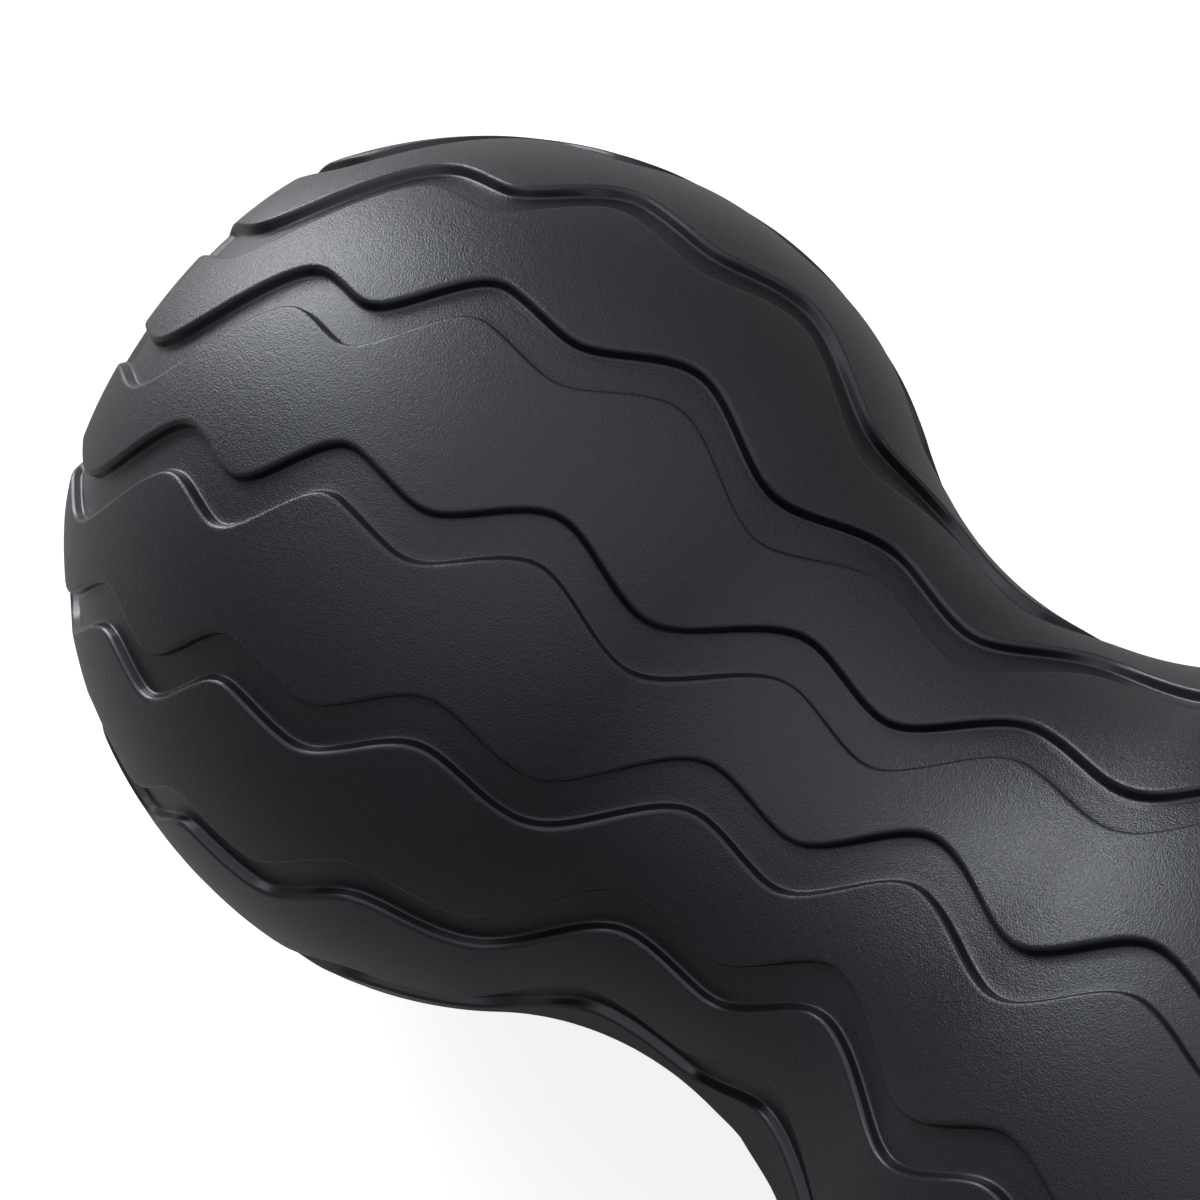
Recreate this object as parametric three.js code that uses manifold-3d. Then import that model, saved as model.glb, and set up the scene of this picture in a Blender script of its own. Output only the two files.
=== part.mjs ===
// Massage roller with two lobes: a moulded silicone skin with wavy bands over a hard core.
// The core holds a battery, a motor with off-centre weights, and a round cap in each end.
// Millimetres. X is the long axis, Z is up, and the origin is the middle of the waist.

import * as THREE from 'three'
import { mergeVertices } from 'three/addons/utils/BufferGeometryUtils.js'
import Module from 'manifold-3d'

const wasm = await Module()
wasm.setup()

// Outside of the body, over the raised bands
const bodyLength = 182
const lobeDiameter = 96
const waistDiameter = 63.4
const lobeEndRun = 41.5
const lobeInnerArcRadius = 46.5
const endDiameter = 58.5
const endCornerRadius = 6

// Wavy bands and the channels between them
const bandCount = 13
const channelWidth = 4.8
const channelDepth = 1.3
const channelWallRun = 1
const channelEdgeLead = 1.3
const bandStartTurn = THREE.MathUtils.degToRad(124)

// Turning points of one band edge: share of the half length, share of the band pitch
const waveTurnShares = [
  [-1, -0.64], [-0.95, -0.74], [-0.798, 0.112], [-0.714, 0.05], [-0.61, 0.498],
  [-0.505, 0.455], [-0.374, 0.81], [-0.258, 0.69], [-0.116, 1.297], [-0.012, 1.19],
  [0.115, 1.762], [0.253, 1.513], [0.374, 1.871], [0.505, 1.733], [0.626, 2.167],
  [0.725, 2.077], [0.824, 2.492], [0.912, 2.384], [1, 2.78],
]
const rowsPerRise = 4
const rowsPerFall = 2
const cornerRows = 3

// Walls and fits
const skinWall = 6
const coreWall = 2.6
const coreEndWall = 3
const seatGap = 0.3
const cutOverrun = 1

// Round end caps
const capRadius = 23.5
const capBoreRadius = 21
const capPlate = 3.6
const capEdge = 0.8
const spigotDepth = 5.3
const spigotHollowRadius = 17.8
const sealGrooveDepth = 1.5
const sealGrooveWidth = 2.4
const sealTubeRadius = 0.6

// Screws that join the two halves of the core
const screwShankRadius = 1.25
const screwHeadRadius = 2.8
const screwHeadHeight = 2
const screwHeadTopShare = 0.8
const screwHoleRadius = screwShankRadius + seatGap
const bossRadius = 4.4
const shellScrewGrip = 8
const lobeBossOutset = 12.5

// Motor
const shaftEndRoom = 6.9
const motorDrop = 4
const canRadius = 18
const canLength = 40
const canWall = 1.2
const canEndWall = 1.5
const endBellThickness = 3
const shaftRadius = 2
const shaftLength = 71
const bearingRadius = 5
const bearingWidth = 4
const bearingProud = 0.9
const damperRadius = 22
const damperWidth = 6
const damperSpread = 12
const damperRibWidth = 4
const armatureRadius = 13.4
const armatureLength = 20
const armatureShift = 3
const armatureSlots = 5
const slotRadius = 3.6
const slotMouth = 1.6
const slotCover = 1.3
const windingOverhang = 3
const magnetThickness = 2.4
const magnetLength = 26
const magnetSpan = THREE.MathUtils.degToRad(140)
const commutatorRadius = 4.5
const commutatorLength = 5.8
const brushReach = 5.7
const brushLength = 4.7
const brushWidth = 4
const weightRadius = 15
const weightThickness = 8
const weightHubRadius = 5
const weightGap = 6
const grubRadius = 1.2
const grubLength = 3.3

// Battery
const batteryLeadRoom = 8.95
const cellRadius = 9.2
const cellLength = 49.5
const cellNubRadius = 3
const cellNubHeight = 1
const cellSpacing = 19
const carrierWall = 1.5
const carrierEndRoom = 1.4
const carrierEarRoom = 3.48
const carrierEarWidth = 8
const carrierEarReach = 7
const carrierEarThickness = 2.5
const carrierRibSpread = 15
const carrierRibWidth = 3
const carrierScrewGrip = 8.8
const carrierBossRadius = 3.4
const stripThickness = 0.5
const stripHeight = 6
const stripWidth = 8
const stripLift = 0.5

// Control board, button, lights and charging socket
const boardRadius = 17.5
const boardThickness = 1.6
const boardSetback = 4.3
const boardScrewSpread = 14.8
const boardScrewRadius = 1
const boardScrewHeadRadius = 1.9
const boardScrewHeadHeight = 1.2
const boardScrewGrip = 3.4
const boardPostRadius = 2.8
const chipSize = 8
const chipHeight = 2
const chipDrop = 6
const buttonRadius = 7
const buttonFlangeRadius = 8.2
const buttonFlangeThickness = 0.9
const buttonRecess = 0.3
const buttonDish = 0.4
const buttonEdge = 0.5
const buttonRimShare = 0.8
const switchSize = 6
const switchHeight = 1.5
const switchPlungerRadius = 1.5
const switchPlungerHeight = 0.4
const lightCount = 5
const lightRadius = 1
const lightRingRadius = 12.5
const lightStep = THREE.MathUtils.degToRad(22)
const ledSize = 2
const ledHeight = 0.8
const doorWidth = 13
const doorHeight = 8
const doorThickness = 2
const doorDrop = 18.2
const doorPinRadius = 0.5
const doorPinReach = 1.1
const socketWidth = 9
const socketHeight = 3.3
const socketWall = 0.35
const socketDrop = 14.2
const tongueWidth = 6.6
const tongueThickness = 0.7
const tongueSetback = 0.8

// Inner leads
const leadRadius = 0.8
const motorLeadSteps = 18
const batteryLeadSteps = 4

// Facet counts
const bodyFacets = 24
const roundFacets = 20
const smallFacets = 10
const screwFacets = 8
const arcSegments = 5
const cornerArcSegments = 2
const leadArcSegments = 3

// Places worked out from the sizes above
const endPlane = bodyLength / 2
const lobeOffset = endPlane - lobeEndRun
const lobeRadius = lobeDiameter / 2
const waistRadius = waistDiameter / 2
const bandPitch = 2 * Math.PI / bandCount
const capOpeningRadius = capRadius + seatGap
const skinEndInner = endPlane - skinWall
const coreEnd = skinEndInner - seatGap
const spigotRadius = capBoreRadius - seatGap
const spigotEnd = skinEndInner - spigotDepth
const plateInner = endPlane - capPlate
const coreDepth = skinWall + seatGap
const motorPlace = plateInner - shaftEndRoom - shaftLength / 2
const boardFront = plateInner - boardSetback
const boardBack = boardFront - boardThickness
const stripBack = cellLength / 2 + seatGap
const batteryPlace = boardBack - batteryLeadRoom - stripThickness - stripBack

// Shape helpers
function solidOf (geometry) {
  const bare = geometry.clone()
  bare.deleteAttribute('normal')
  bare.deleteAttribute('uv')
  const merged = mergeVertices(bare)
  const vertProperties = new Float32Array(merged.attributes.position.array)
  const triVerts = new Uint32Array(merged.index.array)
  return new wasm.Manifold(new wasm.Mesh({ numProp: 3, vertProperties, triVerts }))
}

function geometryOf (solid) {
  const mesh = solid.getMesh()
  const geometry = new THREE.BufferGeometry()
  geometry.setAttribute('position', new THREE.BufferAttribute(new Float32Array(mesh.vertProperties), 3))
  geometry.setIndex(new THREE.BufferAttribute(new Uint32Array(mesh.triVerts), 1))
  geometry.computeVertexNormals()
  return geometry
}

function united (solids) {
  return solids.reduce((whole, solid) => whole.add(solid))
}

// A profile of [radius, place along the axis] points, turned about the X axis
function turned (profile, facets = roundFacets) {
  const points = profile.map(([radius, along]) => new THREE.Vector2(radius, along))
  return new THREE.LatheGeometry(points, facets).rotateZ(-Math.PI / 2)
}

function rod (radius, from, to, facets = smallFacets) {
  const geometry = new THREE.CylinderGeometry(radius, radius, to - from, facets).rotateZ(-Math.PI / 2)
  return geometry.translate((from + to) / 2, 0, 0)
}

function post (radius, low, high, x, y, facets = smallFacets) {
  const geometry = new THREE.CylinderGeometry(radius, radius, high - low, facets).rotateX(Math.PI / 2)
  return geometry.translate(x, y, (low + high) / 2)
}

function block (low, high) {
  const size = high.map((value, axis) => value - low[axis])
  const middle = high.map((value, axis) => (value + low[axis]) / 2)
  return new THREE.BoxGeometry(...size).translate(...middle)
}

function ring (innerRadius, outerRadius, from, to, facets = roundFacets) {
  return turned([
    [innerRadius, from], [outerRadius, from], [outerRadius, to], [innerRadius, to], [innerRadius, from],
  ], facets)
}

// An outline in Y and Z, drawn out along X
function drawnAlongX (outline, from, to, curveSegments = arcSegments) {
  const drawn = { depth: to - from, bevelEnabled: false, curveSegments }
  const geometry = new THREE.ExtrudeGeometry(outline, drawn)
  const turn = new THREE.Matrix4().makeBasis(
    new THREE.Vector3(0, 1, 0), new THREE.Vector3(0, 0, 1), new THREE.Vector3(1, 0, 0))
  return geometry.applyMatrix4(turn).translate(from, 0, 0)
}

function roundedOutline (width, height, radius) {
  const outline = new THREE.Shape()
  const y = width / 2 - radius
  const z = height / 2 - radius
  outline.absarc(y, z, radius, 0, Math.PI / 2)
  outline.absarc(-y, z, radius, Math.PI / 2, Math.PI)
  outline.absarc(-y, -z, radius, Math.PI, Math.PI * 3 / 2)
  outline.absarc(y, -z, radius, Math.PI * 3 / 2, Math.PI * 2)
  return outline
}

// Body profile: the lobe arcs, the waist arc between them, and the end corner
const outerArcFall = lobeRadius - endDiameter / 2
const lobeOuterArcRadius = (lobeEndRun ** 2 + outerArcFall ** 2) / (2 * outerArcFall)
const lobeInnerDrop = lobeInnerArcRadius - lobeRadius
const lobeOuterDrop = lobeOuterArcRadius - lobeRadius
const waistArcRadius = (lobeOffset ** 2 + (waistRadius + lobeInnerDrop) ** 2 - lobeInnerArcRadius ** 2) /
  (2 * (lobeRadius - waistRadius))
const waistArcEnd = lobeOffset * waistArcRadius / (lobeInnerArcRadius + waistArcRadius)

function bodyRadius (x) {
  const along = Math.abs(x)
  const fromLobe = along - lobeOffset
  if (along < waistArcEnd) {
    return waistRadius + waistArcRadius - Math.sqrt(waistArcRadius ** 2 - along ** 2)
  }
  if (along < lobeOffset) return Math.sqrt(lobeInnerArcRadius ** 2 - fromLobe ** 2) - lobeInnerDrop
  return Math.sqrt(lobeOuterArcRadius ** 2 - fromLobe ** 2) - lobeOuterDrop
}

const cornerCentre = endPlane - endCornerRadius
const cornerReach = lobeOuterArcRadius - endCornerRadius
const cornerAngle = Math.acos((cornerCentre - lobeOffset) / cornerReach)
const cornerHeight = cornerReach * Math.sin(cornerAngle) - lobeOuterDrop
const cornerStart = cornerCentre + endCornerRadius * Math.cos(cornerAngle)

// Angle of a band edge at a place along the body
function edgeTurn (x) {
  const place = THREE.MathUtils.clamp(x / endPlane, -1, 1)
  const last = waveTurnShares.findIndex(([along]) => along >= place)
  const [toAlong, toTurn] = waveTurnShares[Math.max(last, 1)]
  const [fromAlong, fromTurn] = waveTurnShares[Math.max(last, 1) - 1]
  const share = THREE.MathUtils.smoothstep(place, fromAlong, toAlong)
  return bandStartTurn - bandPitch * THREE.MathUtils.lerp(fromTurn, toTurn, share)
}

// Rows along the body: place, radius over the bands, and how deep the channels are
function bodyRows () {
  const rows = []
  for (let half = 1; half < waveTurnShares.length; half++) {
    const [from, fromTurn] = waveTurnShares[half - 1]
    const [to, toTurn] = waveTurnShares[half]
    const steps = toTurn > fromTurn ? rowsPerRise : rowsPerFall
    for (let step = 0; step < steps; step++) {
      const x = endPlane * THREE.MathUtils.lerp(from, to, step / steps)
      const beforeCorner = Math.abs(x) < cornerStart - channelWallRun
      if (beforeCorner) rows.push({ x, radius: bodyRadius(x), depth: channelDepth })
    }
  }
  for (let step = 0; step <= cornerRows; step++) {
    const share = step / cornerRows
    const angle = cornerAngle * (1 - share)
    const x = cornerCentre + endCornerRadius * Math.cos(angle)
    const radius = cornerHeight + endCornerRadius * Math.sin(angle)
    const row = { x, radius, depth: channelDepth * (1 - share) }
    rows.push(row)
    rows.unshift({ ...row, x: -x })
  }
  return rows
}

// Corners of one row: down into each channel, along its floor, up again, and over the band
function rowCorners ({ x, radius, depth }) {
  const wall = channelWallRun / 2 / radius
  const corners = []
  for (let band = 0; band < bandCount; band++) {
    const lower = edgeTurn(x) + band * bandPitch
    const upper = edgeTurn(x - channelEdgeLead) + channelWidth / radius + band * bandPitch
    const nextLower = lower + bandPitch
    const turns = [lower - wall, lower + wall, upper - wall, upper + wall, (upper + nextLower) / 2]
    const heights = [radius, radius - depth, radius - depth, radius, radius]
    turns.forEach((turn, corner) => {
      corners.push([x, heights[corner] * Math.cos(turn), heights[corner] * Math.sin(turn)])
    })
  }
  return corners
}

function bandedBody () {
  const rows = bodyRows().map(rowCorners)
  const around = rows[0].length
  const places = [...rows.flat(), [-endPlane, 0, 0], [endPlane, 0, 0]]
  const firstPole = rows.length * around
  const faces = []
  for (let column = 0; column < around; column++) {
    const next = (column + 1) % around
    for (let row = 0; row < rows.length - 1; row++) {
      const here = row * around
      const there = here + around
      faces.push(here + column, here + next, there + next)
      faces.push(here + column, there + next, there + column)
    }
    faces.push(firstPole, next, column)
    faces.push(firstPole + 1, firstPole - around + column, firstPole - around + next)
  }
  const geometry = new THREE.BufferGeometry()
  geometry.setAttribute('position', new THREE.Float32BufferAttribute(places.flat(), 3))
  geometry.setIndex(faces)
  return geometry
}

// Profile that follows the body at a depth below its outside, closed by flat ends
const liningShares = [0, 0.14, 0.27, 0.4, 0.53, 0.67, 0.8, 0.92, 1]

function liningProfile (depth, end) {
  const half = liningShares.map(share => [bodyRadius(share * end) - depth, share * end])
  const mirrored = half.slice(1).reverse().map(([radius, along]) => [radius, -along])
  return [...mirrored, ...half]
}

// Silicone skin
function skinGeometry () {
  const outerEnd = endPlane + cutOverrun
  const hollow = turned([
    [0, -outerEnd], [capOpeningRadius, -outerEnd], [capOpeningRadius, -skinEndInner],
    ...liningProfile(skinWall, skinEndInner),
    [capOpeningRadius, skinEndInner], [capOpeningRadius, outerEnd], [0, outerEnd],
  ], bodyFacets)
  return geometryOf(solidOf(bandedBody()).subtract(solidOf(hollow)))
}

// Hard core, in two halves that meet at the middle plane
const cavityEnd = coreEnd - coreEndWall
const cavityDepth = coreDepth + coreWall
const lobeBossOffset = lobeOffset + lobeBossOutset
const bossInset = cavityDepth + bossRadius + seatGap
const lobeBossSpread = bodyRadius(lobeBossOffset) - bossInset
const waistBossSpread = waistRadius - bossInset
const shellBosses = [
  [lobeBossOffset, lobeBossSpread], [lobeBossOffset, -lobeBossSpread],
  [0, waistBossSpread], [0, -waistBossSpread],
  [-lobeBossOffset, lobeBossSpread], [-lobeBossOffset, -lobeBossSpread],
]
const carrierEarMiddle = cellSpacing / 2 + cellRadius + carrierWall + carrierEarReach / 2
const carrierEarEnd = carrierEarMiddle + carrierEarReach / 2
const carrierBottom = -Math.sqrt((lobeRadius - cavityDepth - carrierEarRoom) ** 2 - carrierEarEnd ** 2)
const batteryDrop = -carrierBottom - cellRadius - seatGap - carrierWall
const carrierScrewEnd = carrierBottom - carrierScrewGrip + carrierEarThickness

// A solid that follows the body at a depth below its outside, out to flat ends
function lining (depth, end) {
  return solidOf(turned([[0, -end], ...liningProfile(depth, end), [0, end]], bodyFacets))
}

function coreHollow () {
  const cavity = lining(cavityDepth, cavityEnd)
  const ribs = []
  for (const side of [-1, 1]) {
    const middle = side * damperSpread - motorPlace
    const from = middle - damperRibWidth / 2
    const to = middle + damperRibWidth / 2
    const seat = rod(damperRadius + seatGap, from - cutOverrun, to + cutOverrun, roundFacets)
      .translate(0, 0, -motorDrop)
    ribs.push(solidOf(rod(lobeRadius, from, to, roundFacets)).subtract(solidOf(seat)))
    const rib = batteryPlace + side * carrierRibSpread
    ribs.push(solidOf(block([rib - carrierRibWidth / 2, -lobeRadius, -lobeRadius],
      [rib + carrierRibWidth / 2, lobeRadius, carrierBottom - seatGap])))
    ribs.push(solidOf(post(carrierBossRadius, -lobeRadius, carrierBottom - seatGap,
      batteryPlace, side * carrierEarMiddle)))
  }
  for (const [x, y] of shellBosses) ribs.push(solidOf(post(bossRadius, -lobeRadius, lobeRadius, x, y)))
  return cavity.subtract(united(ribs))
}

function coreShells () {
  const innerEnd = cavityEnd - cutOverrun
  const capBores = solidOf(rod(capBoreRadius, -endPlane, endPlane, roundFacets))
    .subtract(solidOf(rod(capBoreRadius + cutOverrun, -innerEnd, innerEnd, roundFacets)))
  const holes = [capBores]
  for (const [x, y] of shellBosses) {
    const holeEnd = shellScrewGrip + seatGap
    holes.push(solidOf(post(screwHoleRadius, -shellScrewGrip - cutOverrun, holeEnd, x, y)))
    holes.push(solidOf(post(screwHeadRadius + seatGap, -lobeRadius, -shellScrewGrip, x, y)))
  }
  for (const side of [-1, 1]) {
    holes.push(solidOf(post(screwHoleRadius, carrierScrewEnd - seatGap, carrierBottom,
      batteryPlace, side * carrierEarMiddle)))
  }
  const core = lining(coreDepth, coreEnd).subtract(coreHollow()).subtract(united(holes))
  const width = lobeDiameter
  const half = seatGap / 2
  const above = solidOf(block([-bodyLength, -width, half], [bodyLength, width, width]))
  const below = solidOf(block([-bodyLength, -width, -width], [bodyLength, width, -half]))
  return { upper: geometryOf(core.intersect(above)), lower: geometryOf(core.intersect(below)) }
}

// A pan-head screw along +X: its head is seated at the origin and its shank runs from there
function screwGeometry (shankRadius, headRadius, headHeight, grip) {
  return turned([
    [0, -headHeight], [headRadius * screwHeadTopShare, -headHeight], [headRadius, -headHeight / 2],
    [headRadius, 0], [shankRadius, 0], [shankRadius, grip - shankRadius / 2], [shankRadius / 2, grip],
    [0, grip],
  ], screwFacets)
}

// End caps
const sealMiddle = coreEnd - coreEndWall / 2

function capSolid () {
  const grooveFloor = spigotRadius - sealGrooveDepth
  const grooveFrom = sealMiddle - sealGrooveWidth / 2
  const grooveTo = sealMiddle + sealGrooveWidth / 2
  return solidOf(turned([
    [0, plateInner], [spigotHollowRadius, plateInner], [spigotHollowRadius, spigotEnd],
    [spigotRadius, spigotEnd], [spigotRadius, grooveFrom], [grooveFloor, grooveFrom],
    [grooveFloor, grooveTo], [spigotRadius, grooveTo], [spigotRadius, skinEndInner],
    [capRadius, skinEndInner], [capRadius, endPlane - capEdge], [capRadius - capEdge, endPlane],
    [0, endPlane],
  ]))
}

function sealGeometry () {
  const middle = spigotRadius - sealTubeRadius
  return new THREE.TorusGeometry(middle, sealTubeRadius, arcSegments, roundFacets)
    .rotateY(Math.PI / 2).translate(sealMiddle, 0, 0)
}

// Controls: places along X
const partsBase = boardFront + seatGap
const pocketFloor = endPlane - doorThickness - seatGap
const doorAxis = endPlane - doorThickness / 2
const doorEdge = doorThickness / 2
const flangeFront = plateInner - seatGap
const flangeBack = flangeFront - buttonFlangeThickness

function lightPlaces () {
  return Array.from({ length: lightCount }, (_, index) => {
    const angle = (index - (lightCount - 1) / 2) * lightStep
    return [lightRingRadius * Math.sin(angle), lightRingRadius * Math.cos(angle)]
  })
}

function controlCapGeometry () {
  const postEnd = plateInner + cutOverrun
  const posts = [-1, 1].map(side =>
    solidOf(rod(boardPostRadius, partsBase, postEnd).translate(0, side * boardScrewSpread, 0)))
  const screwEnd = boardBack + boardScrewGrip + seatGap
  const outside = endPlane + cutOverrun
  const pocket = block([pocketFloor, -doorWidth / 2 - seatGap, -doorDrop - doorEdge - seatGap],
    [outside, doorWidth / 2 + seatGap, -doorDrop + doorHeight + seatGap])
  const pinHalf = doorWidth / 2 + doorPinReach + seatGap
  const pinHoleRadius = doorPinRadius + seatGap
  const pinHole = new THREE.CylinderGeometry(pinHoleRadius, pinHoleRadius, pinHalf * 2, smallFacets)
  const socketHole = roundedOutline(socketWidth + 2 * seatGap, socketHeight + 2 * seatGap,
    socketHeight / 2 + seatGap)
  const cuts = [
    solidOf(rod(buttonRadius + seatGap, plateInner - cutOverrun, outside, roundFacets)),
    solidOf(pocket),
    solidOf(pinHole.translate(doorAxis, 0, -doorDrop)),
    solidOf(drawnAlongX(socketHole, plateInner - cutOverrun, outside, cornerArcSegments)
      .translate(0, 0, -socketDrop)),
    ...lightPlaces().map(([y, z]) =>
      solidOf(rod(lightRadius + seatGap, plateInner - cutOverrun, outside).translate(0, y, z))),
    ...[-1, 1].map(side =>
      solidOf(rod(boardScrewRadius + seatGap, partsBase - cutOverrun, screwEnd)
        .translate(0, side * boardScrewSpread, 0))),
  ]
  return geometryOf(united([capSolid(), ...posts]).subtract(united(cuts)))
}

function buttonGeometry () {
  const face = endPlane - buttonRecess
  return turned([
    [0, flangeBack], [buttonFlangeRadius, flangeBack], [buttonFlangeRadius, flangeFront],
    [buttonRadius, flangeFront], [buttonRadius, face - buttonEdge], [buttonRadius - buttonEdge, face],
    [buttonRadius * buttonRimShare, face], [buttonRadius / 2, face - buttonDish], [0, face - buttonDish],
  ])
}

function boardGeometry () {
  const holes = [-1, 1].map(side => solidOf(rod(boardScrewRadius + seatGap, boardBack - cutOverrun,
    boardFront + cutOverrun).translate(0, side * boardScrewSpread, 0)))
  const half = ledSize / 2
  const boardMiddle = boardBack + boardThickness / 2
  const ledTop = boardFront + ledHeight
  const leds = lightPlaces().map(([y, z]) =>
    solidOf(block([boardMiddle, y - half, z - half], [ledTop, y + half, z + half])))
  const disc = solidOf(rod(boardRadius, boardBack, boardFront, roundFacets))
  return geometryOf(united([disc, ...leds]).subtract(united(holes)))
}

function switchGeometry () {
  const top = partsBase + switchHeight
  const half = switchSize / 2
  const body = solidOf(block([partsBase, -half, -half], [top, half, half]))
  return geometryOf(body.add(solidOf(rod(switchPlungerRadius, partsBase, top + switchPlungerHeight))))
}

function doorGeometry () {
  const outline = new THREE.Shape()
  outline.moveTo(doorEdge, 0)
  outline.lineTo(doorEdge, doorHeight)
  outline.lineTo(-doorEdge, doorHeight)
  outline.lineTo(-doorEdge, 0)
  outline.absarc(0, 0, doorEdge, Math.PI, Math.PI * 2)
  const half = doorWidth / 2
  const drawn = { depth: doorWidth, bevelEnabled: false, curveSegments: arcSegments }
  const plate = new THREE.ExtrudeGeometry(outline, drawn).rotateX(Math.PI / 2).translate(0, half, 0)
  const pinLength = 2 * (half + doorPinReach)
  const pins = new THREE.CylinderGeometry(doorPinRadius, doorPinRadius, pinLength, smallFacets)
  return geometryOf(solidOf(plate).add(solidOf(pins)))
}

function socketGeometry () {
  const outline = roundedOutline(socketWidth, socketHeight, socketHeight / 2)
  outline.holes.push(roundedOutline(socketWidth - 2 * socketWall, socketHeight - 2 * socketWall,
    socketHeight / 2 - socketWall))
  return drawnAlongX(outline, partsBase, pocketFloor - seatGap, cornerArcSegments)
}

// Motor, about its own middle
const canInner = canRadius - canWall
const canHalf = canLength / 2
const bellInner = canHalf - endBellThickness
const bearingHole = bearingRadius + seatGap
const shaftHole = shaftRadius + seatGap
const windingFront = armatureLength / 2 - armatureShift + seatGap + windingOverhang
const windingBack = -armatureLength / 2 - armatureShift - seatGap - windingOverhang
const slotPlace = armatureRadius - slotCover - slotRadius
const weightNear = canHalf + weightGap
const bearingPlace = canHalf + bearingProud - bearingWidth / 2

function canGeometry () {
  return turned([
    [bearingHole, -canHalf], [canRadius, -canHalf], [canRadius, canHalf], [canInner, canHalf],
    [canInner, -canHalf + canEndWall], [bearingHole, -canHalf + canEndWall], [bearingHole, -canHalf],
  ])
}

function magnetGeometry () {
  const outer = canInner - seatGap
  const outline = new THREE.Shape()
  outline.absarc(0, 0, outer, -magnetSpan / 2, magnetSpan / 2)
  outline.absarc(0, 0, outer - magnetThickness, magnetSpan / 2, -magnetSpan / 2, true)
  return drawnAlongX(outline, -armatureShift - magnetLength / 2, -armatureShift + magnetLength / 2)
}

function aroundArmature (make) {
  return united(Array.from({ length: armatureSlots }, (_, index) =>
    solidOf(make().rotateX(2 * Math.PI * index / armatureSlots))))
}

function armatureGeometry () {
  const from = -armatureLength / 2 - armatureShift
  const to = armatureLength / 2 - armatureShift
  const cutFrom = from - cutOverrun
  const cutTo = to + cutOverrun
  const slots = aroundArmature(() =>
    rod(slotRadius, cutFrom, cutTo, screwFacets).translate(0, 0, slotPlace))
  const mouths = aroundArmature(() => block([cutFrom, -slotMouth / 2, slotPlace],
    [cutTo, slotMouth / 2, armatureRadius + cutOverrun]))
  return geometryOf(solidOf(ring(shaftHole, armatureRadius, from, to)).subtract(slots).subtract(mouths))
}

function windingGeometry () {
  const coil = slotRadius - seatGap
  const coils = aroundArmature(() =>
    rod(coil, windingBack, windingFront, screwFacets).translate(0, 0, slotPlace))
  const near = ring(slotPlace - coil, slotPlace + coil, windingFront - windingOverhang, windingFront)
  const far = ring(slotPlace - coil, slotPlace + coil, windingBack, windingBack + windingOverhang)
  return geometryOf(united([coils, solidOf(near), solidOf(far)]))
}

function brushGeometry () {
  const from = commutatorRadius + seatGap
  const half = brushWidth / 2
  const back = bellInner - seatGap
  return block([back - brushLength, from, -half], [back, from + brushReach, half])
}

function weightGeometry () {
  const outline = new THREE.Shape()
  outline.absarc(0, 0, weightHubRadius, 0, Math.PI)
  outline.absarc(0, 0, weightRadius, Math.PI, Math.PI * 2)
  const bore = solidOf(rod(shaftHole, -cutOverrun, weightThickness + cutOverrun))
  const grubHole = solidOf(post(grubRadius + seatGap, 0, weightRadius, weightThickness / 2, 0))
  return geometryOf(solidOf(drawnAlongX(outline, 0, weightThickness)).subtract(bore).subtract(grubHole))
}

// Battery, about the middle of the pack
const cellHalf = cellLength / 2
const pocketRadius = cellRadius + seatGap

function cellGeometry () {
  const canTop = cellHalf - cellNubHeight
  const crimp = cellNubHeight / 2
  return turned([
    [0, -cellHalf], [cellRadius - crimp, -cellHalf], [cellRadius, -cellHalf + crimp],
    [cellRadius, canTop], [cellNubRadius, canTop], [cellNubRadius, cellHalf], [0, cellHalf],
  ])
}

function carrierGeometry () {
  const half = cellHalf + seatGap + carrierWall
  const width = cellSpacing / 2 + pocketRadius + carrierWall
  const floor = -pocketRadius - carrierWall
  const tray = solidOf(block([-half, -width, floor], [half, width, 0]))
  const roundRadius = bodyRadius(batteryPlace - half) - cavityDepth - carrierEndRoom
  const round = solidOf(rod(roundRadius, -half - cutOverrun, half + cutOverrun, 2 * roundFacets)
    .translate(0, 0, batteryDrop))
  const ears = solidOf(block([-carrierEarWidth / 2, -carrierEarEnd, floor],
    [carrierEarWidth / 2, carrierEarEnd, floor + carrierEarThickness]))
  const pocketHalf = cellHalf + seatGap
  const pockets = [-1, 1].map(side => solidOf(
    rod(pocketRadius, -pocketHalf, pocketHalf, roundFacets).translate(0, side * cellSpacing / 2, 0)))
  const holes = [-1, 1].map(side => solidOf(
    post(screwHoleRadius, floor - cutOverrun, 0, 0, side * carrierEarMiddle)))
  return geometryOf(tray.intersect(round).add(ears).subtract(united([...pockets, ...holes])))
}

// A lead: a round tube through its points
function leadGeometry (points, steps) {
  const path = new THREE.CatmullRomCurve3(points.map(point => new THREE.Vector3(...point)))
  const outline = new THREE.Shape().absarc(0, 0, leadRadius, 0, Math.PI * 2)
  return new THREE.ExtrudeGeometry(outline, { steps, curveSegments: leadArcSegments, extrudePath: path })
}

// Finishes: colour, roughness, metalness
const finishes = {
  silicone: [0x2b2c30, 0.62, 0],
  corePlastic: [0x3a3c40, 0.6, 0],
  capPlastic: [0x1d1e21, 0.45, 0],
  buttonPlastic: [0x26272b, 0.38, 0],
  lightPipe: [0xd9e2ea, 0.2, 0],
  sealRubber: [0x17181a, 0.8, 0],
  steel: [0xb9bcc0, 0.35, 1],
  blackSteel: [0x3b3d40, 0.45, 1],
  brass: [0xc2a053, 0.35, 1],
  copper: [0xb06a3c, 0.4, 1],
  magnet: [0x4a4d52, 0.5, 0.6],
  carbon: [0x2c2c2c, 0.85, 0],
  board: [0x1f4f38, 0.55, 0],
  cellWrap: [0x2d5f8e, 0.4, 0],
  nickel: [0xc9c9c4, 0.3, 1],
  redLead: [0xa8231c, 0.5, 0],
  blackLead: [0x1a1a1a, 0.5, 0],
}

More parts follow.
